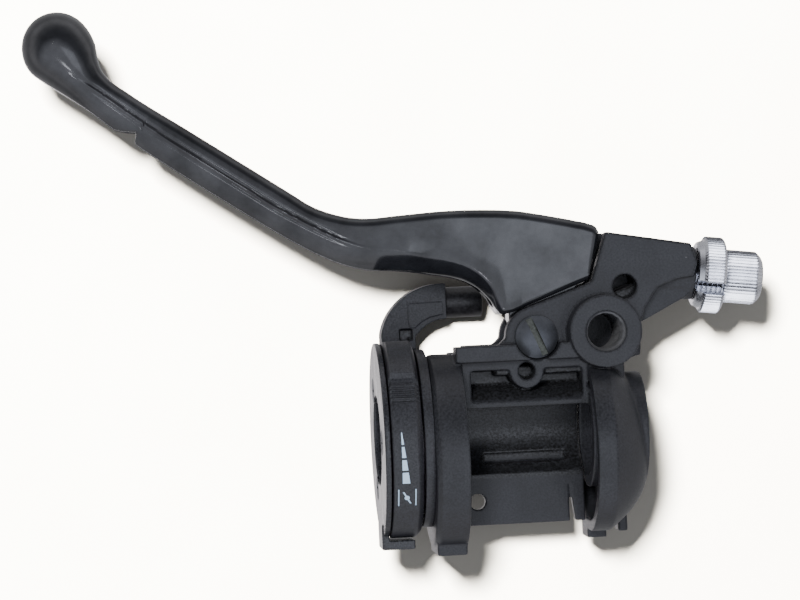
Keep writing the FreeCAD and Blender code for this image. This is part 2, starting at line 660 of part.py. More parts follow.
def make_choke_ring():
    """The thumb ring: bevelled rim, raised pad, ribs, detents and the cable's groove."""
    radius = size("ring_dia") / 2
    bevel = size("ring_bevel")
    rim = lathed("ring_rim", line((ring_left, 0), (ring_left, radius - 0.4), (ring_left + 0.4, radius),
                                  (ring_right - bevel, radius), (ring_right, radius - bevel),
                                  (ring_right, 0), (ring_left, 0)))
    pad = sector("ring_pad", "dims.ring_dia / 2 + dims.pad_rise", str(size("ring_long") - bevel),
                 ring_left, -74.5, 35.9)
    ribs = [sector(f"ring_rib_{index}", "dims.ring_dia / 2 + 0.6", str(size("ring_long") - bevel - 0.4),
                   ring_left + 0.4, angle, 1.0) for index, angle in enumerate(RIB_ANGLES)]
    hole = cylinder("ring_bore", "dims.hub_dia / 2 + dims.running_gap", "20", (ring_left - 5, 0, 0), AXIS_X)
    groove = cut("ring_groove",
                 sector("groove_outer", "dims.ring_dia / 2 + 5", "2.2", ring_right - 4.0, 105, 150),
                 cylinder("groove_floor", "dims.ring_dia / 2 - 1.7", "8", (ring_right - 6, 0, 0), AXIS_X))
    dimples = []
    for index, turn in enumerate((0, 30, 60)):
        spot = Rotation(AXIS_X, -turn).multVec(Vector(0, *DETENT))
        dimples.append(sphere(f"ring_dimple_{index}", "dims.detent_dia / 2 + 0.1",
                              (ring_right + 1.0, spot.y, spot.z)))
    node(cut("ring_body", fuse("ring_mass", rim, pad, *ribs), hole, groove, *dimples), "choke_ring")


def make_choke_small():
    """The wave washer, and the detent's ball and spring."""
    node(tube("wave_body", "dims.hub_dia / 2 + 1.0", "dims.hub_dia / 2 + 0.2", "dims.washer_thick",
              (flange_left - size("washer_gap") - size("washer_thick"), 0, 0), AXIS_X), "wave_washer")
    ball_x = ring_right + 0.05 + size("detent_dia") / 2
    node(sphere("detent_body", "dims.detent_dia / 2", (ball_x, *DETENT)), "detent_ball")
    start = ball_x + size("detent_dia") / 2 + 0.02
    node(tube("spring_body", "dims.detent_dia / 2 - 0.1", "dims.detent_dia / 2 - 0.5",
              str(wall_left + 4.8 - start), (start, *DETENT), AXIS_X), "detent_spring")


# ---------------------------------------------------------------- choke cable elbow
ELBOW_Z = -size("elbow_back")
ELBOW_LOW = ELBOW_Z - size("elbow_half")
ELBOW_TOP = ELBOW_Z + size("elbow_half")
ELBOW_RIGHT = wall_left - 0.3
TONGUE = ((flange_left + 0.1, ELBOW_RIGHT - 0.3), (ELBOW_Z - 3.0, ELBOW_Z + 3.0))
FERRULE_Y = 33.6
ELBOW_END = wall_left + 7.9


def make_elbow():
    """The moulded elbow that leads the choke cable off the ring, with its lid and ferrule."""
    shift = wall_left + 27.6
    outer = [(x + shift, y) for x, y in [(-36.7, 26.0), (-33.3, 33.0), (-26.7, 37.5), (-19.7, 38.5)]]
    inner = [(x + shift, y) for x, y in [(-19.7, 29.5), (-23.9, 28.6), (-27.9, 25.3)]]
    body = padded("elbow_mass", spline(*outer) + line(outer[-1], inner[0]) + spline(*inner)
                  + line(inner[-1], (inner[-1][0], 12.0), (outer[0][0], 12.0), outer[0]),
                  ELBOW_LOW, "2 * dims.elbow_half")
    ring_room = cylinder("elbow_ring_room", "dims.ring_dia / 2 + dims.pad_rise + 0.4", "40",
                         (cap_left - 10, 0, 0), AXIS_X)
    way = cylinder("elbow_way", "dims.choke_cable_dia / 2 - 1.2", "14", (ELBOW_END - 13.0, FERRULE_Y, ELBOW_Z), AXIS_X)
    seat = cylinder("elbow_seat", "dims.ferrule_dia / 2 - 0.9", "5", (ELBOW_END - 4.0, FERRULE_Y, ELBOW_Z), AXIS_X)
    rise = cylinder("elbow_rise", "dims.choke_cable_dia / 2 - 1.2", "24", (ELBOW_END - 12.0, FERRULE_Y - 22, ELBOW_Z),
                    AXIS_Y)
    window = box("elbow_window", (shift - 32.0, 24.3, ELBOW_TOP - 1.8), (shift - 28.7, 27.3, ELBOW_TOP + OVER))
    trimmed = cut("elbow_trimmed", body, ring_room, way, seat, rise, window)
    tongue = box("elbow_tongue", (TONGUE[0][0], 9.5, TONGUE[1][0]), (TONGUE[0][1], 25.0, TONGUE[1][1]))
    node(fuse("elbow_body", trimmed, tongue), "cable_elbow")

    rim = [(x + shift, y) for x, y in [(-20.7, 34.0), (-29.7, 33.8), (-29.7, 28.0), (-28.0, 27.4), (-26.2, 28.9),
                                       (-23.9, 30.0), (-20.7, 30.6)]]
    node(padded("cover_body", line(*rim, rim[0]), ELBOW_TOP + 0.02, "0.5"), "elbow_cover")

    skirt = cylinder("ferrule_skirt", "dims.ferrule_dia / 2", "dims.ferrule_long",
                     (ELBOW_END + 0.02, FERRULE_Y, ELBOW_Z), AXIS_X)
    spigot = cylinder("ferrule_spigot", "dims.ferrule_dia / 2 - 0.95", "4.5",
                      (ELBOW_END - 3.8, FERRULE_Y, ELBOW_Z), AXIS_X)
    socket = cylinder("ferrule_socket", "dims.choke_cable_dia / 2", "dims.ferrule_long",
                      (ELBOW_END + 1.5, FERRULE_Y, ELBOW_Z), AXIS_X)
    inner_way = cylinder("ferrule_way", "1.2", "30", (ELBOW_END - 6, FERRULE_Y, ELBOW_Z), AXIS_X)
    node(cut("ferrule_body", fuse("ferrule_mass", skirt, spigot), socket, inner_way), "elbow_ferrule")


# ---------------------------------------------------------------- build
make_housing()
make_clamp()
LUG_REAR = -block_rear - size("side_gap") - size("lug_thick")
for screw_name, (screw_x, screw_y) in zip(("clamp_screw_left", "clamp_screw_right"), CLAMP_SCREWS):
    make_socket_screw(screw_name, screw_x, screw_y, LUG_REAR)
make_pivot()
make_lever()
make_adjuster()
make_choke_base()
make_choke_cap()
for screw_index, (screw_y, screw_z) in enumerate(CHOKE_SCREWS):
    make_choke_screw(screw_index, screw_y, screw_z)
make_choke_ring()
make_choke_small()
make_elbow()
doc.recompute()

for item in doc.Objects:
    if "Invalid" in item.State or "Error" in item.State:
        raise RuntimeError(f"{item.Name} is {item.State}")
for item in NODES:
    if item.Shape.isNull() or not item.Shape.isValid():
        raise RuntimeError(f"{item.Label} has no valid shape")
    if len(item.Shape.Solids) != 1:
        raise RuntimeError(f"{item.Label} is {len(item.Shape.Solids)} solids")
for item in NODES:
    item.Shape.exportStep(f"parts/{item.Label}.step")
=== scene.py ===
import json
import math

import bmesh
import bpy
import numpy as np
from mathutils import Matrix, Vector


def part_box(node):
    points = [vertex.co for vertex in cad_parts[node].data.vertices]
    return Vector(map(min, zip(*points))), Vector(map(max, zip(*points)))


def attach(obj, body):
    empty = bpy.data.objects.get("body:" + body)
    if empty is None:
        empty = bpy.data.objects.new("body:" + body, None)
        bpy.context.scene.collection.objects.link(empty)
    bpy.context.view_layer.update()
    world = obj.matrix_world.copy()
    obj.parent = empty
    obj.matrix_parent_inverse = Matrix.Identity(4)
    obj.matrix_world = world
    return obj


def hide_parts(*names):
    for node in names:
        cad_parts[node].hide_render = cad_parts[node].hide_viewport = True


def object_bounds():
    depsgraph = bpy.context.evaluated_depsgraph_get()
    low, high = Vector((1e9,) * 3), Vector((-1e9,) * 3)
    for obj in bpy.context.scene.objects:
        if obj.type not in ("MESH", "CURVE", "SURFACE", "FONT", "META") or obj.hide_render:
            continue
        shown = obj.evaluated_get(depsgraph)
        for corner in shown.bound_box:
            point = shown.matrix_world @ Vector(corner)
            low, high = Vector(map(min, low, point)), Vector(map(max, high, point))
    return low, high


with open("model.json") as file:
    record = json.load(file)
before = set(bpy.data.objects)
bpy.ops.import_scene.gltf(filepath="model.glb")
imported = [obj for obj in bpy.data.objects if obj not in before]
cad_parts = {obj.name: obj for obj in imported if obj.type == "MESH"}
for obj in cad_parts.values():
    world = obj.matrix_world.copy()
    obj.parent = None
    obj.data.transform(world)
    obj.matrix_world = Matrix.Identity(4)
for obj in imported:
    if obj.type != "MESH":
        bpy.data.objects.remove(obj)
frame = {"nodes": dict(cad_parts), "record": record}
CAD_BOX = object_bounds()

bl_info = {
    "name": "Clutch perch with thumb choke",
    "version": (1, 0, 0),
    "blender": (4, 5, 0),
    "location": "View3D > Sidebar > Perch",
    "description": "Detailed surfaces and finishes of a handlebar clutch perch, around its solid model",
    "category": "Add Mesh",
}

MM = 0.001
JOINTS = {joint["name"]: joint for joint in frame["record"]["behaviour"]["joints"]}
PIVOT = np.array(JOINTS["lever_pivot"]["pos_m"][:2]) / MM
ADJUST = np.array(JOINTS["adjuster_travel"]["axis"])
MOUNTS = {mount["name"]: mount for mount in frame["record"]["mounts"]}


def span(node):
    """Lowest and highest corner of a CAD node, in mm."""
    low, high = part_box(node)
    return np.array(low) / MM, np.array(high) / MM


# -------------------- colours and materials
def linear(text):
    """A linear colour from an sRGB hex text."""
    parts = [int(text[at:at + 2], 16) / 255 for at in (1, 3, 5)]
    return tuple(c / 12.92 if c <= 0.04045 else ((c + 0.055) / 1.055) ** 2.4 for c in parts)


def add_node(tree, kind, values=None, links=None, **settings):
    """Add a shader node with its settings, its own socket values and its links."""
    item = tree.nodes.new(kind)
    for name, value in settings.items():
        setattr(item, name, value)
    for name, value in (values or {}).items():
        item.inputs[name].default_value = value
    for name, source in (links or {}).items():
        tree.links.new(source, item.inputs[name])
    return item


def new_material(name):
    """An empty node material with its object coordinates and its output."""
    material = bpy.data.materials.new(name)
    material.use_nodes = True
    tree = material.node_tree
    tree.nodes.clear()
    place = add_node(tree, "ShaderNodeTexCoord").outputs["Object"]
    return material, tree, place


def principled(tree, values, links):
    """A principled shader with its own values and its links, linked to the output."""
    shader = add_node(tree, "ShaderNodeBsdfPrincipled", values, links)
    add_node(tree, "ShaderNodeOutputMaterial", links={"Surface": shader.outputs[0]})


def noise(tree, place, size_mm, detail=3.0, roughness=0.55):
    """A noise whose features are about size_mm across."""
    values = {"Scale": 1 / (size_mm * MM), "Detail": detail, "Roughness": roughness}
    return add_node(tree, "ShaderNodeTexNoise", values, {"Vector": place}).outputs["Fac"]


def ramp(tree, source, low, high, first, last):
    """A ramp of two colours between two positions."""
    item = add_node(tree, "ShaderNodeValToRGB", links={"Fac": source})
    item.color_ramp.elements[0].position = low
    item.color_ramp.elements[1].position = high
    item.color_ramp.elements[0].color = (*first, 1)
    item.color_ramp.elements[1].color = (*last, 1)
    return item.outputs["Color"]


def spread(tree, source, low, high, first=0.3, last=0.7):
    """A value from low to high as the source goes from first to last, which are by default
    the usual lowest and highest of a noise."""
    values = {"From Min": first, "From Max": last, "To Min": low, "To Max": high}
    return add_node(tree, "ShaderNodeMapRange", values, {"Value": source}).outputs["Result"]


def speckled(tree, tone, grain, low, high):
    """A tone times a factor that goes from low to high with a grain."""
    factor = spread(tree, grain, low, high)
    product = add_node(tree, "ShaderNodeVectorMath", links={0: tone, 1: factor}, operation="MULTIPLY")
    return product.outputs["Vector"]


def bump(tree, height, depth_mm, strength, below=None):
    """A bump of depth_mm, over another one if given."""
    links = {"Height": height}
    if below is not None:
        links["Normal"] = below
    return add_node(tree, "ShaderNodeBump", {"Strength": strength, "Distance": depth_mm * MM},
                    links).outputs["Normal"]


def powder_coat(name, dark, pale):
    """Satin powder coat on a die casting: a 0.5 mm orange-peel grain, 9 mm clouds where the
    film is thicker, and pale dust specks 0.2 mm across and 13 mm apart."""
    material, tree, place = new_material(name)
    grain = noise(tree, place, 0.5, 4.0)
    cloud = noise(tree, place, 9.0, 3.0)
    dust = add_node(tree, "ShaderNodeTexVoronoi", {"Scale": 1 / (13 * MM)}, {"Vector": place})
    tone = ramp(tree, cloud, 0.32, 0.68, dark, pale)
    tone = speckled(tree, tone, grain, 0.55, 1.55)
    speck = ramp(tree, dust.outputs["Distance"], 0.008, 0.016, (1, 1, 1), (0, 0, 0))
    colour = add_node(tree, "ShaderNodeMix", {"B": (*linear("#6f7074"), 1)},
                      {"Factor": speck, "A": tone}, data_type="RGBA")
    rough = spread(tree, grain, 0.34, 0.48)
    relief = bump(tree, grain, 0.09, 0.6)
    relief = bump(tree, cloud, 0.35, 0.15, relief)
    principled(tree, {"IOR": 1.5},
               {"Base Color": colour.outputs["Result"], "Roughness": rough, "Normal": relief})
    return material


def gloss_enamel(name, colour):
    """Stoved black enamel: deep gloss, with a faint orange peel 2.5 mm across, and 11 mm smears
    of handling that dull it."""
    material, tree, place = new_material(name)
    peel = noise(tree, place, 2.5, 1.0)
    haze = noise(tree, place, 11.0, 5.0, 0.65)
    tone = ramp(tree, haze, 0.3, 0.7, colour, tuple(c * 2.6 for c in colour))
    rough = spread(tree, haze, 0.09, 0.22)
    relief = bump(tree, peel, 0.02, 0.3)
    relief = bump(tree, haze, 0.1, 0.2, relief)
    principled(tree, {"IOR": 1.52, "Coat Roughness": 0.08},
               {"Base Color": tone, "Roughness": rough, "Normal": relief,
                "Coat Weight": spread(tree, haze, 0.1, 1.0)})
    return material


def moulded_plastic(name, colour, low, high, grain_mm=0.4):
    """Moulded black ABS: spark-eroded grain drawn at 0.4 mm, with worn, shinier places 7 mm across."""
    material, tree, place = new_material(name)
    grain = noise(tree, place, grain_mm, 3.0)
    wear = noise(tree, place, 7.0, 3.0)
    tone = ramp(tree, wear, 0.3, 0.7, colour, tuple(c * 1.45 for c in colour))
    tone = speckled(tree, tone, grain, 0.4, 1.85)
    rough = spread(tree, wear, low, high)
    relief = bump(tree, grain, 0.06, 0.5)
    relief = bump(tree, wear, 0.3, 0.15, relief)
    principled(tree, {"IOR": 1.53}, {"Base Color": tone, "Roughness": rough, "Normal": relief})
    return material


def plated_metal(name, colour, low, high, stain, metallic=1.0):
    """Plated or oiled steel: metallic, with a fine drawn grain of 0.3 mm and 3 mm stains."""
    material, tree, place = new_material(name)
    grain = noise(tree, place, 0.3, 4.0)
    blotch = noise(tree, place, 3.0, 3.0)
    tone = ramp(tree, blotch, 0.35, 0.7, colour, tuple(c * stain for c in colour))
    rough = spread(tree, grain, low, high)
    relief = bump(tree, grain, 0.01, 0.3)
    principled(tree, {"Metallic": metallic}, {"Base Color": tone, "Roughness": rough, "Normal": relief})
    return material


def cast_skin(name):
    """Coated casting left rough inside: glossier, with 0.5 mm pits and 4 mm runs along the bar. Its dark
    tone is also laid in the elbow's window as painted shade.
    """
    material, tree, place = new_material(name)
    stretch = {"Scale": (0.15, 1.0, 1.0)}  # 0.6 mm runs become 4 mm long
    along = add_node(tree, "ShaderNodeMapping", stretch, {"Vector": place}).outputs["Vector"]
    runs = noise(tree, along, 0.6, 3.0)
    grain = noise(tree, place, 0.5, 5.0, 0.7)
    tone = ramp(tree, grain, 0.45, 0.75, linear("#111112"), linear("#3e4046"))
    rough = spread(tree, grain, 0.44, 0.22)
    relief = bump(tree, runs, 0.08, 0.5)
    relief = bump(tree, grain, 0.06, 0.5, relief)
    principled(tree, {"IOR": 1.5}, {"Base Color": tone, "Roughness": rough, "Normal": relief})
    return material


def printed_ink(name):
    """Pad-printed pale ink: thin, matt, with tiny 0.3 mm pinholes that let the black through."""
    material, tree, place = new_material(name)
    pin = noise(tree, place, 0.3, 2.0)
    tone = ramp(tree, pin, 0.28, 0.36, linear("#7f93a8"), linear("#b9d3ee"))
    principled(tree, {"Roughness": 0.5}, {"Base Color": tone})
    return material


def floor_paper(name):
    """Pale background paper: matt, with faint 40 mm clouds."""
    material, tree, place = new_material(name)
    cloud = noise(tree, place, 40.0, 1.0)
    tone = ramp(tree, cloud, 0.3, 0.7, linear("#97938a"), linear("#9b978e"))
    principled(tree, {"Roughness": 0.95, "Specular IOR Level": 0.1}, {"Base Color": tone})
    return material


MATERIALS = {}


def make_materials(colours):
    """All finishes, from the colours in the scene's settings."""
    coat = tuple(colours.casting)
    MATERIALS["cast_black"] = powder_coat("powder_coated_casting", coat, tuple(c * 1.35 for c in coat))
    MATERIALS["saddle"] = cast_skin("rough_cast_saddle")
    MATERIALS["lever_black"] = gloss_enamel("gloss_black_enamel", tuple(colours.lever))
    MATERIALS["choke_plastic"] = moulded_plastic("moulded_abs_matt", tuple(colours.plastic), 0.36, 0.5)
    MATERIALS["cap_plastic"] = moulded_plastic("moulded_abs_satin", tuple(colours.plastic), 0.2, 0.32)
    ferrule = linear("#1c1c1f")
    MATERIALS["ferrule_plastic"] = moulded_plastic("moulded_abs_gloss", ferrule, 0.32, 0.44, 0.6)
    MATERIALS["bright_plate"] = plated_metal("bright_zinc_plate", tuple(colours.plate), 0.2, 0.34, 0.82)
    MATERIALS["dark_steel"] = plated_metal("black_oxide_steel", linear("#585b62"), 0.42, 0.56, 0.7, 0.7)
    MATERIALS["spring_steel"] = plated_metal("spring_steel_bare", linear("#9a9b9d"), 0.22, 0.34, 0.8)
    MATERIALS["bronze"] = plated_metal("sintered_bronze", linear("#a47c48"), 0.35, 0.5, 0.7)
    MATERIALS["tapped"] = plated_metal("tapped_alloy", linear("#66676b"), 0.3, 0.42, 0.6, 0.5)
    MATERIALS["slot"] = plated_metal("worn_slot_steel", linear("#5a5c57"), 0.3, 0.5, 0.6)
    MATERIALS["ink"] = printed_ink("pale_pad_print")


# -------------------- mesh helpers
def grid_shell(points, ends="fans"):
    """A shell from a grid (u, v, 3) that is closed in v. Along u it is joined to itself
    ("loop"), or each end gets one face ("flats") or triangles round its middle ("fans")."""
    count_u, count_v, _ = points.shape
    index = np.arange(count_u * count_v).reshape(count_u, count_v)
    rows = np.vstack([index, index[:1]]) if ends == "loop" else index
    rows = np.hstack([rows, rows[:, :1]])
    quads = np.stack([rows[:-1, :-1], rows[1:, :-1], rows[1:, 1:], rows[:-1, 1:]], axis=-1)
    verts = points.reshape(-1, 3)
    faces = quads.reshape(-1, 4).tolist()
    if ends == "flats":
        faces += [index[0][::-1].tolist(), index[-1].tolist()]
    if ends == "fans":
        middle = len(verts)
        verts = np.vstack([verts, points[0].mean(axis=0), points[-1].mean(axis=0)])
        for row, tip in ((rows[0], middle), (rows[-1], middle + 1)):
            fan = np.stack([np.full(count_v, tip), row[:-1], row[1:]], axis=-1)
            faces += fan.tolist()
    return verts, faces


def lathe_shell(profile, turns, place):
    """A ring: a closed profile (n, 2) of (station, radius) at each angle of turns, where
    place(station, radius, angle) gives the points."""
    station, angle = np.meshgrid(profile[:, 0], turns)
    radius = np.broadcast_to(profile[:, 1], station.shape)
    return grid_shell(place(station, radius, angle), "loop")


def plate_shell(outline, low, high, bevel):
    """A plate: a star-shaped outline (n, 2) between two heights, its edges bevelled."""
    outline = np.asarray(outline, float)
    centre = outline.mean(axis=0)
    reach = np.linalg.norm(outline - centre, axis=1, keepdims=True)
    inner = centre + (outline - centre) * (1 - bevel / reach)
    layers = [(inner, low), (outline, low + bevel), (outline, high - bevel), (inner, high)]
    points = np.stack([np.column_stack([ring, np.full(len(ring), height)]) for ring, height in layers])
    return grid_shell(points)


def merged(mesh, sharp=None):
    """Merge a mesh's doubles, turn its faces outwards and shade it."""
    work = bmesh.new()
    work.from_mesh(mesh)
    bmesh.ops.remove_doubles(work, verts=work.verts, dist=2e-6)
    bmesh.ops.dissolve_degenerate(work, edges=work.edges, dist=1e-7)
    bmesh.ops.recalc_face_normals(work, faces=work.faces)
    work.to_mesh(mesh)
    work.free()
    mesh.polygons.foreach_set("use_smooth", np.ones(len(mesh.polygons), bool))
    if sharp is not None:
        mesh.set_sharp_from_angle(angle=math.radians(sharp))


def new_object(name, shells, sharp=35):
    """An object at the origin from shells given in mm."""
    verts, faces, start = [], [], 0
    for points, rings in shells:
        verts.append(points * MM)
        faces += [[corner + start for corner in ring] for ring in rings]
        start += len(points)
    mesh = bpy.data.meshes.new(name)
    mesh.from_pydata(np.vstack(verts).tolist(), [], faces)
    merged(mesh, sharp)
    item = bpy.data.objects.new(name, mesh)
    bpy.context.scene.collection.objects.link(item)
    return item


def baked(item, sharp=35):
    """Apply an object's modifiers to its mesh."""
    graph = bpy.context.evaluated_depsgraph_get()
    mesh = bpy.data.meshes.new_from_object(item.evaluated_get(graph))
    item.modifiers.clear()
    item.data = mesh
    merged(mesh, sharp)
    return item


def carve(item, cutters):
    """Cut other objects out of one, and remove them."""
    for cutter in cutters:
        step = item.modifiers.new("carve", "BOOLEAN")
        step.operation = "DIFFERENCE"
        step.solver = "EXACT"
        step.object = cutter
    baked(item)
    for cutter in cutters:
        bpy.data.objects.remove(cutter)
    return item


def cast_copy(node, name, voxel_mm, smooth, limit):
    """A merged copy of a CAD node with all its edges softened as a casting's are, by a fine
    voxel skin that is then relaxed, and thinned to a limit of triangles."""
    mesh = frame["nodes"][node].data.copy()
    mesh.name = name
    merged(mesh)
    item = bpy.data.objects.new(name, mesh)
    bpy.context.scene.collection.objects.link(item)
    skin = item.modifiers.new("skin", "REMESH")
    skin.mode = "VOXEL"
    skin.voxel_size = voxel_mm * MM
    relax = item.modifiers.new("relax", "SMOOTH")
    relax.factor = 0.5
    relax.iterations = smooth
    baked(item, None)
    count = 2 * len(item.data.polygons)
    if count > limit:
        thin = item.modifiers.new("thin", "DECIMATE")
        thin.ratio = limit / count
        baked(item, None)
    return item


def settle(item, body, material, replaces=()):
    """Give a piece its body, material and slot, and hide the CAD nodes that it stands for."""
    item.data.materials.clear()
    item.data.materials.append(MATERIALS[material])
    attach(item, body)
    if replaces:
        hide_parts(*replaces)
    return item


def refinish(item, material, inside):
    """Give the faces whose centres are inside(x, y, z) a second material."""
    item.data.materials.append(MATERIALS[material])
    centres = np.empty(len(item.data.polygons) * 3)
    item.data.polygons.foreach_get("center", centres)
    x, y, z = centres.reshape(-1, 3).T / MM
    item.data.polygons.foreach_set("material_index", inside(x, y, z).astype(np.int32))


def fillet(distance, radius):
    """How far a rounded edge has dropped, at a distance in from the edge."""
    inward = np.clip(radius - distance, 0, radius)
    return radius - np.sqrt(np.maximum(radius ** 2 - inward ** 2, 0))


def disc(centre, radius):
    """The outline of a circle."""
    turns = np.linspace(0, 2 * np.pi, 97)[:-1]
    return np.column_stack([radius * np.cos(turns), radius * np.sin(turns)]) + centre


def upright(centre, radius, angle, height):
    """Points about a line along Z through centre."""
    across, along = centre[0] + radius * np.cos(angle), centre[1] + radius * np.sin(angle)
    return np.stack([across, along, height], axis=-1)


def window(value, low, high, soft):
    """One between low and high, falling to nought over soft outside them."""
    return np.clip((value - low) / soft + 1, 0, 1) * np.clip((high - value) / soft + 1, 0, 1)


def triangle(value):
    """A wave from 0 to 1 and back, once for each whole number."""
    return 1 - np.abs(2 * (value % 1) - 1)


def hermite(table, count, ride):
    """Rows of a table made smooth: cubic through each row, spaced by the distance ride."""
    slope = np.gradient(table, ride, axis=0)
    at = np.linspace(ride[0], ride[-1], count)
    step = np.clip(np.searchsorted(ride, at, side="right") - 1, 0, len(ride) - 2)
    width = (ride[step + 1] - ride[step])[:, None]
    part = (at - ride[step])[:, None] / width
    first = (2 * part ** 3 - 3 * part ** 2 + 1) * table[step]
    first += (part ** 3 - 2 * part ** 2 + part) * width * slope[step]
    last = (3 * part ** 2 - 2 * part ** 3) * table[step + 1]
    last += (part ** 3 - part ** 2) * width * slope[step + 1]
    return first + last


# -------------------- settings
class PerchLeverSizes(bpy.types.PropertyGroup):
    """Sizes of the lever's surface."""
    ball_radius: bpy.props.FloatProperty(name="Ball radius", description="Radius of the ball end in mm",
                                         default=8.7, min=4, max=14)
    edge: bpy.props.FloatProperty(name="Outer edge", description="Rounding of the outer edge in mm",
                                  default=2.3, min=0.3, max=4)
    stations: bpy.props.IntProperty(name="Stations", description="Sections along the lever",
                                    default=300, min=60, max=600)


class PerchChokeSizes(bpy.types.PropertyGroup):
    """Sizes of the choke ring's surface."""
    rib_high: bpy.props.FloatProperty(name="Rib height", description="Height of the thumb ribs in mm",
                                      default=0.6, min=0, max=2)
    dip: bpy.props.FloatProperty(name="Dip", description="Depth of the thumb dip in mm",
                                 default=0.7, min=0, max=2)
    ink: bpy.props.FloatProperty(name="Ink", description="Thickness of the print in mm", default=0.04,
                                 min=0.01, max=0.3)


class PerchAdjusterSizes(bpy.types.PropertyGroup):
    """Knurl and thread of the adjuster."""
    ring_teeth: bpy.props.IntProperty(name="Ring teeth", description="Knurl teeth of the lock ring",
                                      default=68, min=8, max=120)
    barrel_teeth: bpy.props.IntProperty(name="Barrel teeth", description="Knurl teeth of the barrel",
                                        default=44, min=8, max=90)
    pitch: bpy.props.FloatProperty(name="Pitch", description="Thread pitch in mm",
                                   default=1.25, min=0.5, max=3)


def colour_setting(name, description, text):
    """A colour setting with an sRGB hex default."""
    return bpy.props.FloatVectorProperty(name=name, description=description, subtype="COLOR",
                                         default=linear(text), min=0, max=1)


class PerchColours(bpy.types.PropertyGroup):
    """Base colours of the main finishes."""
    casting: colour_setting("Casting", "Powder coat of the castings", "#202125")
    lever: colour_setting("Lever", "Enamel of the lever", "#121316")
    plastic: colour_setting("Plastic", "Plastic of the choke", "#202125")
    plate: colour_setting("Plate", "Plating of the adjuster", "#e6e8ee")


# -------------------- lever
BLADE_LEAN = math.radians(145.5)   # direction of the blade towards its ball, from +X
BALL = np.array([-114.9, 101.3])


def blade_place(points):
    """(along, across) from the ball's centre, along towards the tip, to the row frame."""
    points = np.asarray(points, float)
    tip = np.array([math.cos(BLADE_LEAN), math.sin(BLADE_LEAN)])
    side = np.array([tip[1], -tip[0]])
    return BALL + points[..., :1] * tip + points[..., 1:] * side


# Straight part of the blade, from the ball's neck to its bend: along and across of the
# outer rail, the same of the inner rail, half thickness, and how far it has left the ball's
# round section. Millimetres from the ball's centre.
NECK = [
    (-4.3, 7.7, -4.5, -9.25, 8.5, 0.05), (-7.6, 5.6, -8.2, -9.25, 7.9, 0.25),
    (-9.9, 3.0, -11.4, -9.3, 7.2, 0.5), (-12.2, 1.0, -14.0, -9.35, 6.6, 0.75),
    (-15.2, -0.1, -16.8, -9.5, 6.2, 0.9), (-21.2, -0.45, -21.8, -9.9, 5.8, 1.0),
    (-38.0, -0.4, -38.0, -10.5, 5.8, 1.0), (-56.0, -0.3, -57.0, -10.5, 5.8, 1.0),
    (-68.0, -0.25, -70.0, -10.3, 5.8, 1.0),
]
# Bend and shoulder: outer rail x and y, inner rail x and y, half thickness, distance of the
# crease from the inner rail, drop of the flank below the crease.
SHOULDER = [
    (-54.2, 59.3, -58.5, 50.3, 5.9, 5.3, 3.3), (-49.2, 57.1, -52.5, 46.9, 6.1, 5.4, 3.5),
    (-44.3, 55.8, -46.5, 44.2, 6.4, 5.4, 3.8), (-39.3, 55.4, -40.5, 42.6, 6.8, 5.2, 4.2),
    (-34.2, 55.7, -34.9, 42.2, 7.3, 5.0, 4.6), (-29.2, 56.0, -29.7, 41.6, 7.8, 4.7, 5.0),
    (-23.5, 56.3, -24.5, 40.7, 8.15, 4.4, 5.0), (-18.0, 56.4, -19.9, 39.8, 8.4, 4.0, 5.0),
    (-13.5, 56.3, -16.2, 38.5, 8.5, 3.6, 4.8), (-10.0, 56.15, -13.0, 36.4, 8.5, 3.2, 4.2),
    (-7.5, 56.0, -10.8, 33.9, 8.5, 2.8, 3.2), (-5.5, 55.8, -9.3, 31.3, 8.5, 2.0, 2.0),
    (-4.4, 55.7, -8.1, 30.0, 8.5, 1.3, 1.1), (-3.4, 55.6, -6.4, 30.25, 8.5, 1.2, 1.0),
    (1.0, 54.8, -1.0, 32.15, 8.5, 1.2, 1.0), (6.0, 53.75, 5.0, 34.35, 8.5, 1.2, 1.0),
    (11.0, 52.6, 10.0, 36.2, 8.5, 1.2, 1.0), (15.0, 51.5, 13.1, 37.35, 8.5, 1.2, 1.0),
    (16.5, 50.8, 13.8, 37.7, 8.5, 1.2, 1.0), (17.3, 49.6, 14.05, 38.3, 8.5, 1.2, 1.0),
]
# The small notch in the inner edge: X of its deepest point, and its depth and the lengths of
# its slow left side and its steep right side.
NOTCH_X = -97.7
NOTCH_DEEP = 2.6
NOTCH_SLOW, NOTCH_STEEP = 4.2, 0.8
CROWN = 0.75  # how far the blade's round crown falls to its outer edge
ROLL = 0.75  # how far the shoulder rolls off towards the throat
GROOVES = ((0.7, 0.34), (-0.6, 0.24))  # distance from the crease, and depth
GROOVE_WIDE = 0.34
KNUCKLE, NIPPLE, CABLE = 6.3, 4.1, 1.3  # radii of the tongue's end, the nipple's seat, the cable's way
SEAT = (3.0, 18.7)  # the nipple's seat, from the pivot


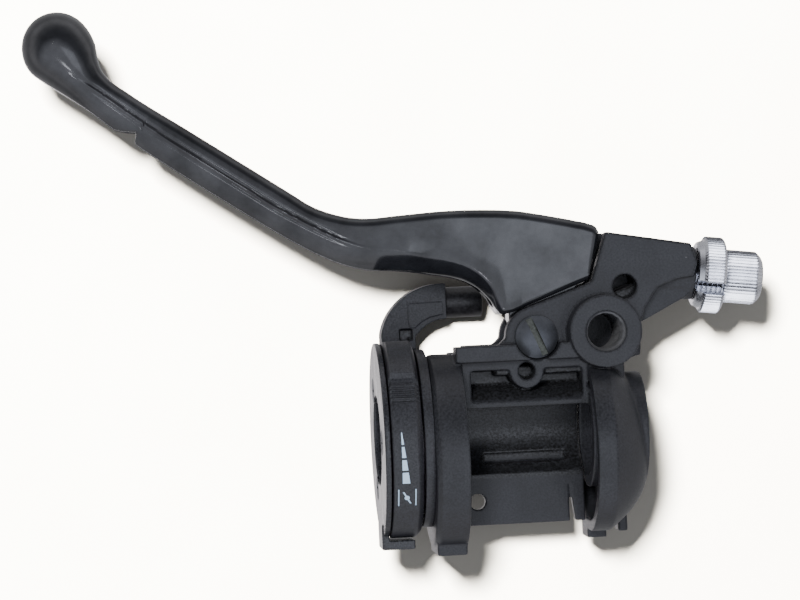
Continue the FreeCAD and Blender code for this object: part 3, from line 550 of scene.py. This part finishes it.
def lever_rails(sizes):
    """The lever's stations: outer rail, inner rail, half thickness, ball-to-blade share,
    crease distance, flank drop and ridge height, as smooth columns."""
    radius = sizes.ball_radius
    turns = np.radians([1.0, 8, 20, 35, 50, 65, 80, 92])
    outer = blade_place(np.column_stack([radius * np.cos(turns), radius * np.sin(turns)]))
    under = radius + 0.5 * np.sin(turns) ** 2
    inner = blade_place(np.column_stack([radius * np.cos(turns), -under * np.sin(turns)]))
    none = np.zeros(len(turns))
    ball = np.column_stack([outer, inner, radius * np.sin(turns), none, none + 4.4, none + 3.2, none + 1])
    neck = np.array(NECK)
    blade = np.column_stack([blade_place(neck[:, :2]), blade_place(neck[:, 2:4]), neck[:, 4], neck[:, 5],
                             np.interp(neck[:, 5], [0, 1], [4.4, 5.1]), np.full(len(neck), 3.2),
                             np.ones(len(neck))])
    end = np.array(SHOULDER)
    ridge = np.clip((-38 - end[:, 0]) / 14, 0, 1)
    shoulder = np.column_stack([end[:, :5], np.ones(len(end)), end[:, 5:7], ridge])
    table = np.vstack([ball, blade, shoulder])
    middle = (table[:, :2] + table[:, 2:4]) / 2
    step = np.linalg.norm(np.diff(middle, axis=0), axis=1)
    rails = np.linalg.norm(np.diff(table[:, 2:4], axis=0), axis=1)
    ride = np.concatenate([[0], np.cumsum(np.maximum(step, 0.6 * rails))])
    return hermite(table, sizes.stations, ride)


def lever_surface(sizes):
    """A closed surface over stations u and round each section v. Across a section, from the
    inner rail (b = 0) to the outer (t = 0), the face stands at the half thickness less a
    rounded outer edge in t, less a flank that falls below the crease as b shortens, less a
    round crown on the blade, less a soft roll into the flank at the throat, less two fine
    grooves that leave a ridge at the crease. Near the ball the section turns into a
    circle. The back is the front mirrored, and the inner wall is hollowed."""
    rows = lever_rails(sizes)
    outer, inner = rows[:, :2], rows[:, 2:4]
    half, share, crease, drop, ridge = [rows[:, at:at + 1] for at in range(4, 9)]
    share = np.clip(share, 0, 1)
    from_notch = inner[:, :1] - NOTCH_X
    reach = np.where(from_notch < 0, NOTCH_SLOW, NOTCH_STEEP)
    bite = np.clip(1 - np.abs(from_notch) / reach, 0, 1)
    across = outer - inner
    wide = np.linalg.norm(across, axis=1, keepdims=True)
    unit = across / np.maximum(wide, 1e-6)
    shift = NOTCH_DEEP * bite ** 1.3
    inner = inner + unit * shift
    wide = np.linalg.norm(outer - inner, axis=1, keepdims=True)
    side = 0.5 - 0.5 * np.cos(np.pi * np.linspace(0, 1, 72))[None, :]
    b = side * wide
    t = wide - b
    from_crease = b + shift - crease
    fall = np.clip(-from_crease / crease, 0, 1)
    face = half - fillet(t, np.minimum(sizes.edge, wide * 0.45)) - drop * (0.5 * fall + 0.5 * fall ** 2)
    face = face - fillet(b, np.minimum(0.5, wide * 0.2))
    crown = np.clip(from_crease, 0, None) / np.maximum(wide + shift - crease, 1.0)
    face = face - CROWN * ridge * crown ** 2
    roll = window(inner[:, :1], -24.0, -10.0, 7.0)
    face = face - ROLL * roll * np.exp(-np.clip(from_crease, 0, None) / 3.2)
    for offset, deep in GROOVES:
        face = face - ridge * deep * np.exp(-((from_crease - offset) / GROOVE_WIDE) ** 2)
    last = np.linalg.norm((outer + inner) / 2 - (outer[-1] + inner[-1]) / 2, axis=1)[:, None]
    face = face - fillet(last, 1.2)
    round_face = half * np.sqrt(np.clip(1 - (2 * side - 1) ** 2, 0, 1))
    z = (1 - share) * round_face + share * np.maximum(face, 0.3)
    plane = inner[:, None, :] + unit[:, None, :] * b[:, :, None]
    front = np.dstack([plane, z])
    back = np.dstack([plane, -z])[:, ::-1]
    drops = np.linspace(1, -1, 12)[1:-1][None, :]
    outer_wall = np.dstack([np.repeat(outer[:, None, :], 10, axis=1), z[:, -1:] * drops])
    hollow = 1.6 * share * (1 - drops ** 2) * np.clip((-8 - inner[:, :1]) / 6, 0, 1)
    hollow = hollow * np.clip(wide / 9, 0, 1)
    inner_plane = inner[:, None, :] + unit[:, None, :] * hollow[:, :, None]
    inner_wall = np.dstack([inner_plane, -z[:, :1] * drops])
    return grid_shell(np.concatenate([front, outer_wall, back, inner_wall], axis=1))


class PERCH_OT_lever(bpy.types.Operator):
    """Make the clutch lever, with its tongue, nipple seat and cable slot"""
    bl_idname = "perch.lever"
    bl_label = "Clutch lever"

    def execute(self, context):
        low, high = span("pivot_bush")
        half = high[2]
        eye = (high[0] - low[0]) / 2 + 0.01
        web = np.array([(-6.0, 1.5), (-6.0, 12.0), (3.0, 16.5), (12.5, 19.0), (13.0, 14.0), (9.5, 9.9),
                        (5.5, 3.1)])
        tongue = new_object("tongue", [plate_shell(disc(PIVOT, KNUCKLE), -half, half, 0.3)])
        link = new_object("web", [plate_shell(web + PIVOT, -half + 0.2, half - 0.2, 0.3)])
        for part in (tongue, link):
            carve(part, [new_object("eye", [plate_shell(disc(PIVOT, eye), -30, 30, 0.1)])])
        lever = new_object("clutch_lever_surface", [lever_surface(context.scene.perch_lever)], 30)
        seat = PIVOT + SEAT
        way = np.array([(0, -CABLE), (18, -CABLE), (18, CABLE), (0, CABLE)]) + seat
        carve(lever, [new_object("seat", [plate_shell(disc(seat, NIPPLE), -30, 3.0, 0.1)]),
                      new_object("way", [plate_shell(way, -30, CABLE, 0.05)])])
        work = bmesh.new()
        for part in (lever, tongue, link):
            work.from_mesh(part.data)
        work.to_mesh(lever.data)
        work.free()
        lever.data.set_sharp_from_angle(angle=math.radians(30))
        bpy.data.objects.remove(tongue)
        bpy.data.objects.remove(link)
        settle(lever, "lever", "lever_black", ("clutch_lever",))
        return {"FINISHED"}


# -------------------- castings
THREAD_PITCH, THREAD_DEEP = 1.25, 0.65  # of the mirror hole


class PERCH_OT_castings(bpy.types.Operator):
    """Make the softened castings: the perch housing, the rear clamp and the mirror thread"""
    bl_idname = "perch.castings"
    bl_label = "Castings"

    def execute(self, context):
        housing = cast_copy("perch_housing", "perch_casting", 0.33, 3, 170000)
        settle(housing, "perch", "cast_black", ("perch_housing",))
        port_x, port_y = np.array(MOUNTS["clutch_switch"]["pos_m"][:2]) / MM

        def rough(x, y, z):
            """The walls of the window under the beam, and the switch port's hole."""
            pocket = (x > -17.2) & (x < 11.2) & (y > 8.2) & (y < 17) & (z > 1.5) & (z < 8.8)
            hole = ((x - port_x) ** 2 + (y - port_y) ** 2 < 3.2 ** 2) & (z < 8.1) & (z > 0)
            return pocket | hole

        refinish(housing, "saddle", rough)
        clamp = cast_copy("bar_clamp", "clamp_casting", 0.3, 3, 120000)
        settle(clamp, "perch", "cast_black", ("bar_clamp",))
        refinish(clamp, "saddle", lambda x, y, z: (y ** 2 + z ** 2 < 12.4 ** 2) & (y > -11.4))
        self.mirror_thread()
        return {"FINISHED"}

    def mirror_thread(self):
        """The mirror hole's thread: a tube whose inner radius is the hole's less a triangle
        wave of the height and the angle together, which is a helix."""
        mount = MOUNTS["mirror_thread"]
        radius, long = mount["dims"]["r_mm"], mount["dims"]["length_mm"]
        centre = np.array(mount["pos_m"]) / MM
        heights = np.linspace(centre[2] - long / 2 + 0.5, centre[2] + long / 2 - 0.5, 240)
        profile = np.concatenate([np.column_stack([heights, np.full(240, radius)]),
                                  [(heights[-1], radius + 0.25), (heights[0], radius + 0.25)]])

        def place(station, ring, angle):
            inside = ring < radius + 0.1
            ends = np.clip(station - heights[0], 0, 1) * np.clip(heights[-1] - station, 0, 1)
            helix = triangle(station / THREAD_PITCH - angle / (2 * np.pi))
            cut = np.where(inside, THREAD_DEEP * helix * ends, 0)
            return upright(centre, ring - cut, angle, station)

        turns = np.linspace(0, 2 * np.pi, 73)[:-1]
        thread = new_object("mirror_thread", [lathe_shell(profile, turns, place)], 50)
        settle(thread, "perch", "tapped")


# -------------------- choke
def about_bar(station, radius, angle):
    """A point about the bar: the angle runs from +Z towards -Y."""
    return np.stack([station, -radius * np.sin(angle), radius * np.cos(angle)], axis=-1)


RING_RADIUS = 24.5
RING_BORE = 17.05


class PERCH_OT_choke(bpy.types.Operator):
    """Make the thumb choke's ring, its printed marks, its end cap and its elbow"""
    bl_idname = "perch.choke"
    bl_label = "Thumb choke"

    def execute(self, context):
        sizes = context.scene.perch_choke
        self.ring(sizes)
        self.marks(sizes)
        cap = cast_copy("choke_end_cap", "choke_cap_moulding", 0.28, 2, 120000)
        settle(cap, "perch", "cap_plastic", ("choke_end_cap",))
        elbow = cast_copy("cable_elbow", "elbow_moulding", 0.22, 3, 90000)
        settle(elbow, "perch", "choke_plastic", ("cable_elbow",))
        # painted shade: the walls of the elbow's window get the dark rough skin, which darkens the recess
        # where shade falls
        refinish(elbow, "saddle", lambda x, y, z: (x > -32.2) & (x < -28.5) & (y > 24.1) & (y < 27.5)
                 & (z < -14.9) & (z > -17))
        return {"FINISHED"}

    def ring(self, sizes):
        """A closed profile of (x, radius) turned about the bar. Its outer face rises by the pad,
        the dip and the ribs, each a window or a bell of the angle, and falls by the cable's
        groove at the back."""
        low, high = span("choke_ring")
        left, right = low[0], high[0]
        radius, inner = RING_RADIUS, RING_BORE
        corner = np.linspace(0, np.pi / 2, 5)
        outer_left = np.column_stack([left + 0.6 - 0.6 * np.cos(corner),
                                      radius - 0.6 + 0.6 * np.sin(corner)])
        flat = np.column_stack([np.linspace(left + 0.8, right - 1.5, 40), np.full(40, radius)])
        bevel = np.array([(right - 1.3, radius - 0.05), (right - 0.9, radius - 0.4),
                          (right - 0.25, radius - 1.1), (right - 0.06, radius - 1.35),
                          (right, radius - 1.6)])
        inside = np.array([(right, inner + 0.3), (right - 0.3, inner), (left + 0.3, inner),
                           (left, inner + 0.3)])
        profile = np.concatenate([outer_left, flat, bevel, inside])
        ribs = np.radians([-34.2 + 2.6 * step for step in range(4)])

        def place(station, ring, angle):
            outer = ring > radius - 1.7
            turn = np.degrees(angle)
            rise = 1.5 * window(turn, -72.0, -41.0, 2.2)  # pad
            rise = rise - sizes.dip * window(turn, -38.0, -36.0, 1.2)
            rise = rise - 0.3 * window(turn, -35.5, -25.0, 0.8)  # bed of the ribs
            for rib in ribs:
                rise = rise + sizes.rib_high * np.exp(-((angle - rib) / 0.0115) ** 2)
            rise = rise * window(station, left + 0.5, right - 0.9, 0.4)
            groove = window(station, right - 3.8, right - 2.0, 0.2) * window(turn % 360, 106, 254, 1.0)
            return about_bar(station, ring + np.where(outer, rise - 1.7 * groove, 0), angle)

        fine = np.linspace(-76, -24, 320)
        coarse = np.linspace(-24, 284, 340)[1:-1]
        turns = np.radians(np.concatenate([fine, coarse]))
        item = new_object("choke_ring_moulding", [lathe_shell(profile, turns, place)], 32)
        settle(item, "choke_ring", "choke_plastic", ("choke_ring",))

    def marks(self, sizes):
        """Printed marks: each is a thin patch between two edges x(angle), just proud of the
        ring. The wedge is four blocks that widen with the angle; the valve sign is two bars,
        a leaning plate and its small round shaft."""
        wedge = [(-6.5, 0.5), (1.7, 8.0), (9.3, 15.4), (16.7, 23.4)]
        shells = []

        def add(first, last, left, right, ink=sizes.ink):
            """One more patch, from angle first to last in degrees, between two edges."""
            turn = np.linspace(first, last, 24)
            under, over = np.full(24, RING_RADIUS - 0.15), np.full(24, RING_RADIUS + ink)
            sides = [(left(turn), under), (left(turn), over), (right(turn), over), (right(turn), under)]
            points = [about_bar(x, ring, np.radians(turn)) for x, ring in sides]
            shells.append(grid_shell(np.stack(points, axis=1)))

        def bow(turn):
            """Half width of the round shaft."""
            return 0.62 * np.sqrt(np.clip(1 - ((turn - 33) / 1.5) ** 2, 0, 1))

        for first, last in wedge:
            add(first, last, lambda turn: -36.0 + 0 * turn, lambda turn: -35.8 + (turn + 6.5) * 0.055)
        for middle in (-37.0, -32.8):
            add(27.2, 38.6, lambda turn: middle - 0.13 + 0 * turn, lambda turn: middle + 0.13 + 0 * turn)
        add(29.0, 37.0, lambda turn: -35.15 + (turn - 33) * 0.22, lambda turn: -34.75 + (turn - 33) * 0.22)
        add(31.5, 34.5, lambda turn: -34.95 - bow(turn), lambda turn: -34.95 + bow(turn), sizes.ink * 1.2)
        item = new_object("choke_print", shells, 40)
        settle(item, "choke_ring", "ink")


# -------------------- adjuster
NOSE = np.array([41.4, 38.0, 0.0])


def slotted(half_width, facing):
    """A place function for a ring about the adjuster's axis with a parallel-sided slot. The
    angle runs from 0 to 1 round what the slot leaves, from the slot's middle at facing."""
    across = np.cross(ADJUST, (0, 0, 1))

    def place(station, radius, share):
        gap = np.arcsin(np.clip(half_width / radius, 0, 0.999))
        angle = facing + gap + share * (2 * np.pi - 2 * gap)
        ring = radius[..., None] * (np.cos(angle)[..., None] * np.array([0, 0, 1.0])
                                    + np.sin(angle)[..., None] * across)
        return NOSE + station[..., None] * ADJUST + ring
    return place


class PERCH_OT_adjuster(bpy.types.Operator):
    """Make the knurled lock ring and the adjuster barrel with its thread"""
    bl_idname = "perch.adjuster"
    bl_label = "Cable adjuster"

    def execute(self, context):
        sizes = context.scene.perch_adjuster
        self.lock_ring(sizes)
        self.barrel(sizes)
        return {"FINISHED"}

    def lock_ring(self, sizes):
        """A closed profile round the slot, whose outer radius falls by a triangle wave of the
        angle, once for each tooth."""
        first, last = 0.3, 7.3
        profile = np.array([
            (first, 4.05), (first, 7.5), (first + 0.3, 8.0), (first + 1.5, 8.5), (first + 1.8, 8.9),
            (first + 2.2, 9.55), (first + 2.4, 9.6), (last - 0.8, 9.6), (last - 0.6, 9.55),
            (last - 0.2, 9.2), (last, 8.8), (last, 4.05)])
        body = slotted(1.55, math.radians(23))

        def place(station, radius, share):
            wave = triangle(share * sizes.ring_teeth)
            depth = np.where(radius > 9.1, 0.4, 0)
            return body(station, radius - depth * wave ** 0.8, share)

        shares = np.linspace(0, 1, sizes.ring_teeth * 8 + 1)
        self.slotted_ring("lock_ring_knurled", "lock_ring", "adjuster_lock_ring", profile, shares, place)

    def barrel(self, sizes):
        """A closed profile from the cable's way round the head to the shank. The head's radius
        falls by a triangle wave of the angle, and the shank's by one of the station and the
        angle together, which is the thread."""
        head, end, tail = 7.6, 17.2, -12.0
        grip, shank = 6.7, 4.0
        thread = np.linspace(head - 0.2, tail + 1.0, 150)
        profile = np.concatenate([
            [(tail, 1.3), (end - 8.0, 1.3), (end - 8.0, 3.0), (end - 0.4, 3.0), (end, 3.4), (end, 4.9),
             (end - 0.35, 5.5), (end - 1.3, 6.45), (end - 1.7, grip)],
            np.column_stack([np.linspace(end - 2.2, head + 0.8, 8), np.full(8, grip)]),
            [(head + 0.3, 6.5), (head, 6.1), (head, shank)],
            np.column_stack([thread, np.full(150, shank)]), [(tail, 3.4)]])
        body = slotted(1.3, math.radians(90))

        def place(station, radius, share):
            wave = triangle(share * sizes.barrel_teeth)
            knurl = np.where((radius > 6.3) & (station > head), 0.42 * wave ** 0.8, 0)
            helix = triangle(station / sizes.pitch - share)
            cut = np.where((np.abs(radius - shank) < 0.01) & (station < head - 0.1), 0.6 * helix, 0)
            return body(station, radius - knurl - cut, share)

        shares = np.linspace(0, 1, sizes.barrel_teeth * 8 + 1)
        self.slotted_ring("barrel_knurled", "barrel", "adjuster_barrel", profile, shares, place)

    def slotted_ring(self, name, body, node, profile, shares, place):
        """The ring's skin from one wall of the slot to the other, with both walls closed."""
        station, share = np.meshgrid(profile[:, 0], shares)
        radius = np.broadcast_to(profile[:, 1], station.shape).copy()
        points = place(station, radius, share)
        item = new_object(name, [grid_shell(points, "flats")], 28)
        settle(item, body, "bright_plate", (node,))


# -------------------- pivot screw
class PERCH_OT_pivot_screw(bpy.types.Operator):
    """Make the pivot screw with its domed, slotted head"""
    bl_idname = "perch.pivot_screw"
    bl_label = "Pivot screw"

    def execute(self, context):
        low, high = span("pivot_screw")
        radius = (high[0] - low[0]) / 2
        seat = high[2] - 3.2
        arc = np.radians(np.linspace(0, 62, 14))
        crown = (1 - np.cos(arc)) / (1 - math.cos(arc[-1]))
        dome = np.column_stack([high[2] - 1.7 * crown, (radius - 0.3) * np.sin(arc) / math.sin(arc[-1])])
        body = np.array([(high[2] - 1.9, radius - 0.05), (high[2] - 2.2, radius), (seat + 0.2, radius),
                         (seat, radius - 0.2), (seat, 3.0), (low[2] + 0.6, 3.0), (low[2], 2.4)])
        profile = np.concatenate([dome[1:], body])
        turns = np.linspace(0, 2 * np.pi, 129)[:-1]
        station, angle = np.meshgrid(profile[:, 0], turns, indexing="ij")
        ring = np.broadcast_to(profile[:, 1][:, None], station.shape)
        screw = new_object("pivot_screw_domed", [grid_shell(upright(PIVOT, ring, angle, station))], 35)
        lean = math.radians(-67)
        along = np.array([math.cos(lean), math.sin(lean)])
        side = np.array([-along[1], along[0]])
        corners = np.array([along * a + side * b for a, b in ((-9, -0.8), (9, -0.8), (9, 0.8), (-9, 0.8))])
        slot = new_object("slot", [plate_shell(corners + PIVOT, high[2] - 1.6, high[2] + 3, 0.02)])
        carve(screw, [slot])
        settle(screw, "perch", "dark_steel", ("pivot_screw",))

        def in_slot(x, y, z):
            """The slot's floor and walls."""
            off_slot = (x - PIVOT[0]) * side[0] + (y - PIVOT[1]) * side[1]
            return (np.abs(off_slot) < 0.82) & (z > high[2] - 1.7)

        refinish(screw, "slot", in_slot)
        return {"FINISHED"}


# -------------------- carried parts
BEVELLED = ("elbow_ferrule", "elbow_cover", "choke_base", "pivot_nut", "clamp_screw_left",
            "clamp_screw_right")


class PERCH_OT_carried(bpy.types.Operator):
    """Give the solid model's own small parts their finishes and softened edges"""
    bl_idname = "perch.carried"
    bl_label = "Small parts"

    def execute(self, context):
        slots = {entry["node"]: entry["material_slot"] for entry in frame["record"]["subparts"]}
        for name, item in frame["nodes"].items():
            item.data.materials.clear()
            item.data.materials.append(MATERIALS[slots[name]])
            if name in BEVELLED:
                weld = item.modifiers.new("weld", "WELD")
                weld.merge_threshold = 2e-6
                edge = item.modifiers.new("edge", "BEVEL")
                edge.width = 0.25 * MM
                edge.segments = 2
                edge.limit_method = "ANGLE"
                edge.angle_limit = math.radians(35)
        return {"FINISHED"}


# -------------------- stage
class PERCH_OT_stage(bpy.types.Operator):
    """Make the floor, the lights and the camera"""
    bl_idname = "perch.stage"
    bl_label = "Stage"

    def execute(self, context):
        self.floor(CAD_BOX[0][2])
        self.world()
        centre = np.array([-32.7, 34.8, 0.0]) * MM
        above = (-0.31, 0.36, 1.2)
        # the key lights the object and shows in nothing; the floor has its own, from the same place
        key = self.lamp("key", centre, above, 0.22, 17.0, "#fffdf8")
        key.visible_glossy = False
        sweep = self.lamp("floor_key", centre, above, 0.2, 760.0, "#fffefc")
        sweep.visible_glossy = False
        self.only(sweep, "floor_only", ["floor"])
        # a broad panel that the flat faces mirror
        self.lamp("overhead", centre, (0.33, 0.02, 1.5), 0.62, 1.25, "#dde3f0")
        # a panel for the bright plate alone, and a small one for the enamel's glints
        shine = self.lamp("plate_panel", centre, (0.25, -0.55, 1.2), 1.1, 16.0, "#f2f5ff")
        self.only(shine, "plated_only", ["lock_ring_knurled", "barrel_knurled"])
        glint = self.lamp("lever_glint", centre, (-0.33, -0.46, 1.06), 0.14, 0.45, "#f4f6ff")
        self.only(glint, "lever_only", ["clutch_lever_surface"])
        self.camera(centre)
        return {"FINISHED"}

    def only(self, lamp, name, receivers):
        """Let a lamp light only some of the objects."""
        group = bpy.data.collections.new(name)
        for receiver in receivers:
            group.objects.link(bpy.data.objects[receiver])
        lamp.light_linking.receiver_collection = group

    def floor(self, height):
        """A large flat sheet just under the object."""
        half = 4.0
        corners = [(x * half, y * half, height) for x, y in ((-1, -1), (1, -1), (1, 1), (-1, 1))]
        mesh = bpy.data.meshes.new("floor")
        mesh.from_pydata(corners, [], [(0, 1, 2, 3)])
        item = bpy.data.objects.new("floor", mesh)
        bpy.context.scene.collection.objects.link(item)
        mesh.materials.append(floor_paper("pale_paper"))
        item.visible_glossy = False
        item.visible_diffuse = False

    def world(self):
        """Studio surround: a wide pale cloth overhead that leans to the near side, a dim band round
        the horizon, dark between, and a pale patch low on the left that flat left faces mirror."""
        world = bpy.data.worlds.new("studio")
        bpy.context.scene.world = world
        world.use_nodes = True
        tree = world.node_tree
        tree.nodes.clear()
        place = add_node(tree, "ShaderNodeTexCoord").outputs["Generated"]
        split = add_node(tree, "ShaderNodeSeparateXYZ", links={"Vector": place})
        height = spread(tree, split.outputs["Z"], 0.0, 1.0, -1.0, 1.0)
        band = add_node(tree, "ShaderNodeValToRGB", links={"Fac": height})
        stops = band.color_ramp.elements
        stops.remove(stops[1])
        stops[0].position, stops[0].color = 0.0, (0.5, 0.5, 0.51, 1)
        greys = ((0.35, 0.45), (0.48, 0.8), (0.58, 0.72), (0.68, 0.34), (0.8, 0.12), (1.0, 0.07))
        for position, grey in greys:
            stop = stops.new(position)
            stop.color = (grey, grey * 0.99, grey * 1.03, 1)
        toward = add_node(tree, "ShaderNodeVectorMath", links={0: place}, operation="DOT_PRODUCT")
        toward.inputs[1].default_value = (-0.06, -0.47, 0.88)
        cloth = ramp(tree, toward.outputs["Value"], 0.52, 0.86, (0, 0, 0), (0.88, 0.92, 1.02))
        low = spread(tree, split.outputs["Z"], 0.0, 1.0, -0.9, -0.97)
        left = spread(tree, split.outputs["X"], 0.0, 1.0, 0.0, -0.05)
        patch = add_node(tree, "ShaderNodeMath", links={0: low, 1: left}, operation="MULTIPLY")
        glow = ramp(tree, patch.outputs["Value"], 0.0, 1.0, (0, 0, 0), (1.3, 1.22, 1.25))
        layers = [add_node(tree, "ShaderNodeBackground", {"Strength": 1.0}, {"Color": colour}).outputs[0]
                  for colour in (band.outputs["Color"], cloth, glow)]
        pair = add_node(tree, "ShaderNodeAddShader", links={0: layers[0], 1: layers[1]}).outputs[0]
        total = add_node(tree, "ShaderNodeAddShader", links={0: pair, 1: layers[2]}).outputs[0]
        add_node(tree, "ShaderNodeOutputWorld", links={"Surface": total})

    def lamp(self, name, target, offset, size, power, colour):
        """A square soft light, at an offset from the target that it faces."""
        light = bpy.data.lights.new(name, "AREA")
        light.size = size
        light.energy = power
        light.color = linear(colour)
        item = bpy.data.objects.new(name, light)
        bpy.context.scene.collection.objects.link(item)
        item.location = target + offset
        item.rotation_mode = "QUATERNION"
        item.rotation_quaternion = (-Vector(offset)).to_track_quat("-Z", "Y")
        return item

    def camera(self, centre):
        """A long lens that looks down on the object, a little from its left, with the bar
        rising slightly to the right."""
        wide, lens = 0.200, 135.0
        back = Vector((-0.0837, 0.0, 0.9965)).normalized()
        across = (Vector((1, 0, 0)) - back * back.x).normalized()
        upward = back.cross(across)
        roll = math.radians(2.7)
        right = across * math.cos(roll) - upward * math.sin(roll)
        top = across * math.sin(roll) + upward * math.cos(roll)
        camera = bpy.data.cameras.new("camera")
        camera.lens = lens
        item = bpy.data.objects.new("camera", camera)
        bpy.context.scene.collection.objects.link(item)
        turned = Matrix((right, top, back)).transposed().to_4x4()
        away = back * (wide * lens / camera.sensor_width)
        item.matrix_world = Matrix.Translation(Vector(centre) + away) @ turned
        bpy.context.scene.camera = item


# -------------------- add-on
class PERCH_PT_panel(bpy.types.Panel):
    """The sidebar's list of pieces"""
    bl_idname = "PERCH_PT_panel"
    bl_label = "Perch"
    bl_space_type = "VIEW_3D"
    bl_region_type = "UI"
    bl_category = "Perch"

    def draw(self, context):
        for operator in OPERATORS:
            self.layout.operator(operator.bl_idname)
        for group in GROUPS:
            settings = getattr(context.scene, group)
            for name in settings.bl_rna.properties.keys():
                if name not in ("rna_type", "name"):
                    self.layout.prop(settings, name)


OPERATORS = [PERCH_OT_carried, PERCH_OT_castings, PERCH_OT_lever, PERCH_OT_choke, PERCH_OT_adjuster,
             PERCH_OT_pivot_screw, PERCH_OT_stage]
GROUPS = {"perch_lever": PerchLeverSizes, "perch_choke": PerchChokeSizes,
          "perch_adjuster": PerchAdjusterSizes, "perch_colours": PerchColours}


def register():
    """Register the classes and put the settings on the scene."""
    for item in [*GROUPS.values(), *OPERATORS, PERCH_PT_panel]:
        bpy.utils.register_class(item)
    for name, group in GROUPS.items():
        setattr(bpy.types.Scene, name, bpy.props.PointerProperty(type=group))


def unregister():
    """Take it all away again."""
    for name in GROUPS:
        delattr(bpy.types.Scene, name)
    for item in [PERCH_PT_panel, *reversed(OPERATORS), *GROUPS.values()]:
        bpy.utils.unregister_class(item)


def main():
    """Make every piece in order."""
    register()
    make_materials(bpy.context.scene.perch_colours)
    for operator in OPERATORS:
        group, name = operator.bl_idname.split(".")
        getattr(getattr(bpy.ops, group), name)()


if __name__ == "__main__":
    main()
